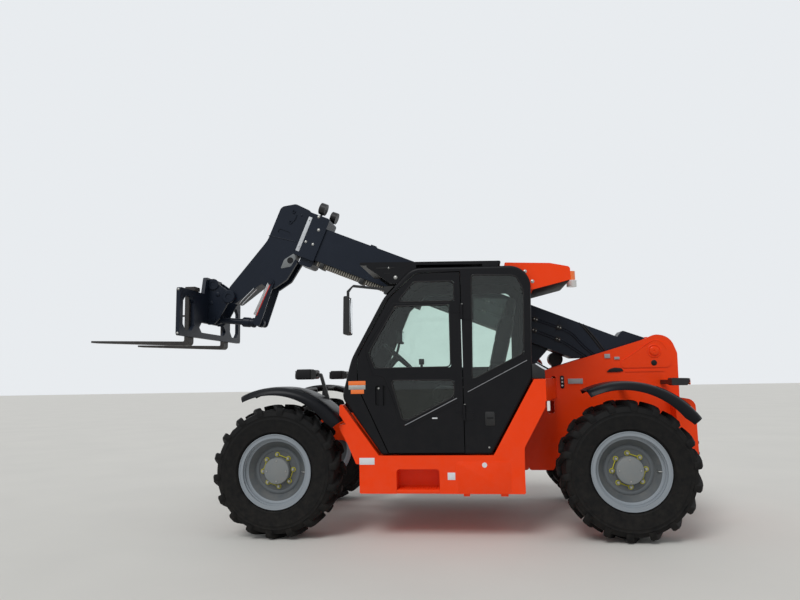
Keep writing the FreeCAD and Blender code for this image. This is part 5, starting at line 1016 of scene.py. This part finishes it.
# %% Bosses, grease pipe and weld seam
HEAD_FACE, SEAM_STEPS = 112, 24
boss_outline = [(8, 0), (22, 0), (22, 6), (19, 9), (12, 9), (8, 4)]
fittings = [turned("boss", boss_outline, on_boom(along, HEAD_FACE, up), outwards, 28)
            for along, up in ((4031, 79), (4020, -43))]
fittings += boom_bolts(9, (3931, HEAD_FACE, 69))
grease_line = places(on_boom, (3984, HEAD_FACE + 3, 58), (3982, HEAD_FACE + 4, 20),
                     (3986, HEAD_FACE + 4, -20), (4010, HEAD_FACE + 3, -38))
fittings.append(pipe("grease_pipe", grease_line, 4))
fit(join("head_fittings", fittings), "boom_extension", boom_paint)
seam = [on_boom(4193 - 316 * t / SEAM_STEPS, HEAD_FACE + 0.5 + (1.6 if t % 2 else 0),
                -265 + 42 * t / SEAM_STEPS) for t in range(SEAM_STEPS + 1)]
seam_end = places(on_boom, (4020, HEAD_FACE + 0.5, -236), (4031.25, HEAD_FACE + 0.5, -236))
welds = [pipe("weld", seam, 4.5, 3), pipe("weld", seam_end, 1.5, 2)]
fit(join("head_weld_seam", welds), "boom_extension", boom_paint)

# %% Hose plate, hoses and steel lines of the head
plate_outline = rounded([(3800, -352), (3846, -346), (3926, -452), (3926, -560), (3826, -500)], 16, 3)
hose_plate = side_plate("head_hose_plate", plate_outline, HEAD_FACE - 1, HEAD_FACE + 2, on_boom)
fit(soften(hose_plate, 1), "boom_extension", hub_paint)
hose_hole = turned("head_hose_hole", [(0, 0), (34, 0), (34, 2), (0, 3)],
                   on_boom(3858, HEAD_FACE + 2, -438), outwards, 28)
fit(hose_hole, "boom_extension", dark_plastic)
HEAD_HOSE_RUN = ((3900, 0, -470), (3858, 0, -520), (3846, 6, -600), (3872, 4, -690), (3930, 0, -742),
                 (4010, -4, -770))
head_hoses = [pipe("hose", [on_boom(along, out + aside, up) for along, aside, up in HEAD_HOSE_RUN], 11)
              for out in (20, 46, 72)]
fit(join("head_hoses", head_hoses), "boom_extension", hose_rubber)
HEAD_LINE_RUN = ((4122, 1, -865), (4150, 4, -930), (4190, 4, -1020), (4212, 1, -1078))
steel_lines = [pipe("line", [on_boom(along + shift, HEAD_FACE + out, up)
                             for along, out, up in HEAD_LINE_RUN], 3.5) for shift in (0, -36)]
fit(join("head_steel_lines", steel_lines), "boom_extension", chrome_rod)

# %% The marked strip on the tilt rocker
ROCKER_FACE = BOOM_MIDDLE_Y + 130.3
rocker_finish = hatched("rocker_strip_finish", (0.66, 0.66, 0.66), (0.05, 0.05, 0.055), 55, 0.3)
for name, outline, finish in (
        ("rocker_strip", [(414, 2470), (388, 2459), (546, 2108), (576, 2120)], rocker_finish),
        ("rocker_red_edge", [(388, 2459), (378, 2455), (536, 2104), (546, 2108)], red_paint)):
    fit(soften(side_plate(name, outline, ROCKER_FACE, ROCKER_FACE + 2), 0.8), "tilt_rocker", finish)

# %% The guarded middle of the tilt link
LINK_REAR, LINK_EYES = at(534.5, -50, 2032), 0.092
link_low, link_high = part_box("tilt_link")
link_run = Vector((link_high.x - link_low.x - LINK_EYES, 0, link_low.z + link_high.z - 2 * LINK_REAR.z))
sleeve = turned("tilt_link_sleeve", [(30, 60), (50, 60), (54, 66), (54, 92), (48, 96), (48, 118),
                                     (54, 122), (54, 196), (46, 206), (30, 206)], LINK_REAR, link_run, 36)
fit(sleeve, "tilt_link", boom_paint)

# %% Carriage and coupler fittings
COUPLER_FACE = BOOM_MIDDLE_Y + 140
PINS = (
    ([(0, 0), (62, 0), (62, 10), (57, 14), (30, 14), (27, 8), (0, 8)], (1032, 2462), 32),
    ([(0, 0), (66, 0), (70, 4), (70, 24), (64, 29), (32, 29), (29, 22), (0, 22)], (847.9, 2319.4), 40),
    ([(0, 0), (24, 0), (24, 7), (20, 9), (0, 9)], (980, 2352), 24),
    ([(0, 0), (20, 0), (20, 6), (16, 8), (0, 8)], (1050, 2258), 24))
pins = [turned("pin", outline, at(x, COUPLER_FACE, z), outwards, steps) for outline, (x, z), steps in PINS]
fit(join("coupler_pins", pins), "carriage", boom_paint)
carriage_bolts = dome_bolts(places(at, (1104, 768, 2322), (1104, 768, 1884)), outwards, 9)
fit(join("carriage_bolts", carriage_bolts), "carriage", zinc_plate)
peg = soften(bar("carriage_peg", at(1120, 330, 2098), at(1262, 330, 2098), 10, 16), 1)
fit(peg, "carriage", fork_steel)

# %% Bezels and lenses of the work lamps
bezels, lenses = [], []
boom_ahead = on_boom(1, 0, 0) - on_boom(0, 0, 0)
for face in places(on_boom, (3750, 120, 215), (3670, -110, 200)):
    bezels.append(turned("bezel", [(50, 0), (63, 0), (63, 6), (58, 9), (50, 7)], face, boom_ahead, 32))
    lenses.append(turned("lens", [(0, 0), (52, 0), (52, 3), (30, 6), (0, 7)], face, boom_ahead, 32))
fit(join("work_lamp_bezels", bezels), "boom", dark_plastic)
fit(join("work_lamp_lenses", lenses), "boom", white_lens)


# %% [markdown]
# ## The tower, sill and step
# The rear tower is a welded box: a raised boss round the boom's pivot, a pressed crease
# over it, a plug below, and blank plates where the machine carries its signs. The sill
# under the door has a step with a tread plate, an access panel and two jacking feet.

# %% Tower boss, crease and plug
TOWER_FACE, PIVOT_X, PIVOT_Z = 173, -3560, 1623
pin_outline = [(0, 0), (44, 0), (44, 4), (38, 8), (12, 8), (10, 4), (0, 4)]
boss = [turned("boss_ring", [(56, 0), (66, 0), (66, 5), (63, 7), (58, 7)],
               at(PIVOT_X, TOWER_FACE - 1, PIVOT_Z), outwards, 56)]
boss += [turned("pin_face", pin_outline, at(PIVOT_X, y, PIVOT_Z), axis, 40)
         for y, axis in ((179, outwards), (-279, -outwards))]
fit(join("pivot_boss", boss), "chassis", orange_paint)
crease_run = ((-3250, 1533), (-3390, 1622), (-3500, 1702), (-3560, 1733), (-3622, 1722), (-3668, 1664),
              (-3676, 1640))
tower_crease = pipe("tower_crease", [at(x, TOWER_FACE - 1, z) for x, z in crease_run], 4)
fit(tower_crease, "chassis", orange_paint)
plug = turned("tower_plug", [(0, 0), (28, 0), (28, 3), (24, 5), (0, 6)], at(-3552, TOWER_FACE, 1508),
              outwards, 32)
fit(plug, "chassis", dark_plastic)

# %% Level gauge and blank signs
gauge_outline = rounded([(-2640, 1272), (-2640, 1398), (-2678, 1398), (-2678, 1272)], 16, 4)
fit(soften(side_plate("level_gauge", gauge_outline, 172, 176), 1.5), "chassis", dark_plastic)
windows = [turned("window", [(0, 0), (9, 0), (9, 2), (0, 3)], at(-2659, 176, z), outwards, 20)
           for z in (1300, 1335, 1370)]
fit(join("level_gauge_windows", windows), "chassis", white_lens)
blank_grey = new_finish("blank_grey", (0.34, 0.34, 0.35), 0.5, mottle=0.12, mottle_scale=20, grain=0.05)
signs = [soft_block("sign", x_span, (164, 174.5), z_span, 1) for x_span, z_span in
         (((-2860, -2716), (1316, 1366)), ((-3136, -3082), (1562, 1604)), ((-3226, -3176), (1548, 1574)))]
fit(join("blank_tower_signs", signs), "chassis", blank_grey)

# %% The pocket behind the tower and the black corner box
pocket = rounded([(-3094, 1424), (-3120, 1452), (-3170, 1468), (-3240, 1462), (-3258, 1432),
                  (-3200, 1424)], 10, 3)
fit(soften(side_plate("tower_pocket_cover", pocket, 164, 175), 1.5), "chassis", dark_plastic)
corner = [(-2330, 1374), (-2412, 1374), (-2412, 1448), (-2330, 1505), (-2300, 1505), (-2300, 1380)]
fit(soften(side_plate("cab_corner_box", corner, 930, 1035), 6), "chassis", moulded_plastic)

# %% Sill: tread plate, access panel, feet and blank plates
SILL_FACE, TOOTH_PITCH, TOOTH_COUNT = 1045, 24, 15
tread = [soft_block("tread_floor", (-1467, -1091), (868, 1044), (396, 428), 3)]
for number in range(TOOTH_COUNT):
    start = -1458 + TOOTH_PITCH * number
    tread.append(soften(block("tooth", (start, start + 12), (880, 1038), (427, 434)), 1.5, 1))
fit(join("step_tread", tread), "chassis", orange_paint)
panel_outline = rounded([(-1622, 402), (-2088, 402), (-2088, 670), (-1622, 670)], 26, 4)
panel = soften(side_plate("access_panel", panel_outline, SILL_FACE - 1, SILL_FACE + 1.5), 1)
fit(panel, "chassis", orange_paint)
feet = [soft_block("foot", x_span, (930, 1030), (372, 397), 3) for x_span in ((-1728, -1674), (-2059, -1995))]
fit(join("jacking_feet", feet), "chassis", orange_paint)
plates = [soft_block("plate", x_span, (SILL_FACE - 1, SILL_FACE + 1), z_span, 0.6) for x_span, z_span in
          (((-896, -760), (645, 704)), ((-1606, -1540), (514, 576)))]
plates.append(turned("plate", [(0, 0), (22, 0), (22, 1.5), (0, 2)], at(-1862, SILL_FACE + 1, 640),
                     outwards, 28))
fit(join("blank_sill_plates", plates), "chassis", white_paint)
horn_outline = [(0, -8), (20, -8), (33, 4), (34, 22), (26, 38), (10, 44), (0, 45)]
fit(turned("front_horn", horn_outline, at(-815, 1000, 790), outwards, 32), "chassis", hose_rubber)

# %% [markdown]
# ## Fenders and road lamps
# A fender is a moulded shell that rolls over into a side skirt, and the skirt grows
# deeper towards its rear end. A long groove is pressed into its top; a thin dark strip stands
# for it, as painted shade in place of the groove's shape. The shell is drawn through
# thirty-one sections placed round the wheel. It stands for the square-edged CAD
# fender, with the same arm and leg. The lamps get coloured lenses.

# %% The shell, section by section
FENDER_TOP, FENDER_FROM, FENDER_TO, FENDER_STEPS = 752, -26, 54, 30
SKIRT_FRONT, SKIRT_GROWTH = 66, 66
FENDER_OUTSIDE = [(705, 40), (705, 8), (713, 1), (800, 0), (950, 0), (1040, 3), (1085, 15), (1108, 36),
                  (1117, 62)]
FENDER_INSIDE = [(1108, 62), (1099, 41), (1079, 24), (1036, 12), (950, 9), (800, 9), (715, 10), (713, 40)]


def round_wheel(degrees, radius, y):
    """A place over the front wheel, by degrees behind its top."""
    turned_by = math.radians(degrees)
    return at(-radius * math.sin(turned_by), y, AXLE_Z + radius * math.cos(turned_by))


def fender_section(share, side):
    """The fender's cut across, at a share of the way from its front end to its rear end."""
    depth = SKIRT_FRONT + SKIRT_GROWTH * share ** 1.6 - max(share - 0.9, 0) * 300
    skirt = [(1119, depth - 3), (1116, depth), (1109, depth)]
    degrees = FENDER_FROM + (FENDER_TO - FENDER_FROM) * share
    return [round_wheel(degrees, FENDER_TOP - drop, y * side)
            for y, drop in FENDER_OUTSIDE + skirt + FENDER_INSIDE]


# %% One fender with its arm and leg
ARM_SPAN, ARM_HEIGHT, ARM_END, LEG_FOOT, LEG_THICK = (-160, -100), (1295, 1320), 716, 860, 25
CHASSIS_SIDE = {1: 165, -1: 265}


def fender(side, with_leg):
    """A shell on its arm, and the leg that carries a front one."""
    shell = loft("fender", [fender_section(step / FENDER_STEPS, side) for step in range(FENDER_STEPS + 1)])
    wall = CHASSIS_SIDE[side] * side
    parts = [soften(shell, 2.5, 1, 50),
             soft_block("arm", ARM_SPAN, sorted((wall, ARM_END * side)), ARM_HEIGHT, 3)]
    if with_leg:
        leg_span = sorted((wall, wall + LEG_THICK * side))
        parts.append(soft_block("leg", ARM_SPAN, leg_span, (LEG_FOOT, ARM_HEIGHT[1]), 3))
    return join("fender", parts)


def fender_groove_shade(side):
    """The pressed groove on top, drawn as a thin dark strip of painted shade that follows the arc."""
    corners = [(8, 1036), (9, 1060), (3.5, 1060), (1, 1036)]
    return loft("groove", [[round_wheel(20 + 2.4 * step, FENDER_TOP - drop, y * side) for drop, y in corners]
                           for step in range(11)])


# %% Four fenders
for end, shift_x in (("front", 0), ("rear", -WHEELBASE / 1000)):
    shift = Vector((shift_x, 0, 0))
    for side, side_name in ((1, "left"), (-1, "right")):
        groove = fender_groove_shade(side)
        moved = copy_piece(groove, f"{end}_{side_name}_fender_groove", shift)
        bpy.data.objects.remove(groove)
        fit(moved, "chassis", dark_plastic)
    both = join("pair", [fender(side, end == "front") for side in (1, -1)])
    moulded = copy_piece(both, end + "_moulded_fenders", shift)
    bpy.data.objects.remove(both)
    fit(moulded, "chassis", fender_plastic, sharp=50)
    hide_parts(end + "_fenders")

# %% Lamp hoods and lenses
REAR_LENSES = ((1296, 1316, amber_lens), (1317, 1336, red_lens), (1337, 1354, white_lens))
for side, side_name in ((1, "left"), (-1, "right")):
    hood = soften(block(f"front_{side_name}_lamp_hood", (-250, -108), sorted((632 * side, 788 * side)),
                        (1404, 1502)), 12, 3)
    fit(hood, "chassis", dark_plastic)
    lens = soft_block(f"front_{side_name}_lamp_lens", (-97, -92), sorted((648 * side, 772 * side)),
                      (1412, 1490), 2)
    fit(lens, "chassis", white_lens)
    for number, (low, high, finish) in enumerate(REAR_LENSES):
        lens = soft_block(f"rear_{side_name}_lamp_lens_{number}", (-3768, -3763),
                          sorted((438 * side, 552 * side)), (low, high), 1.5)
        fit(lens, "chassis", finish)
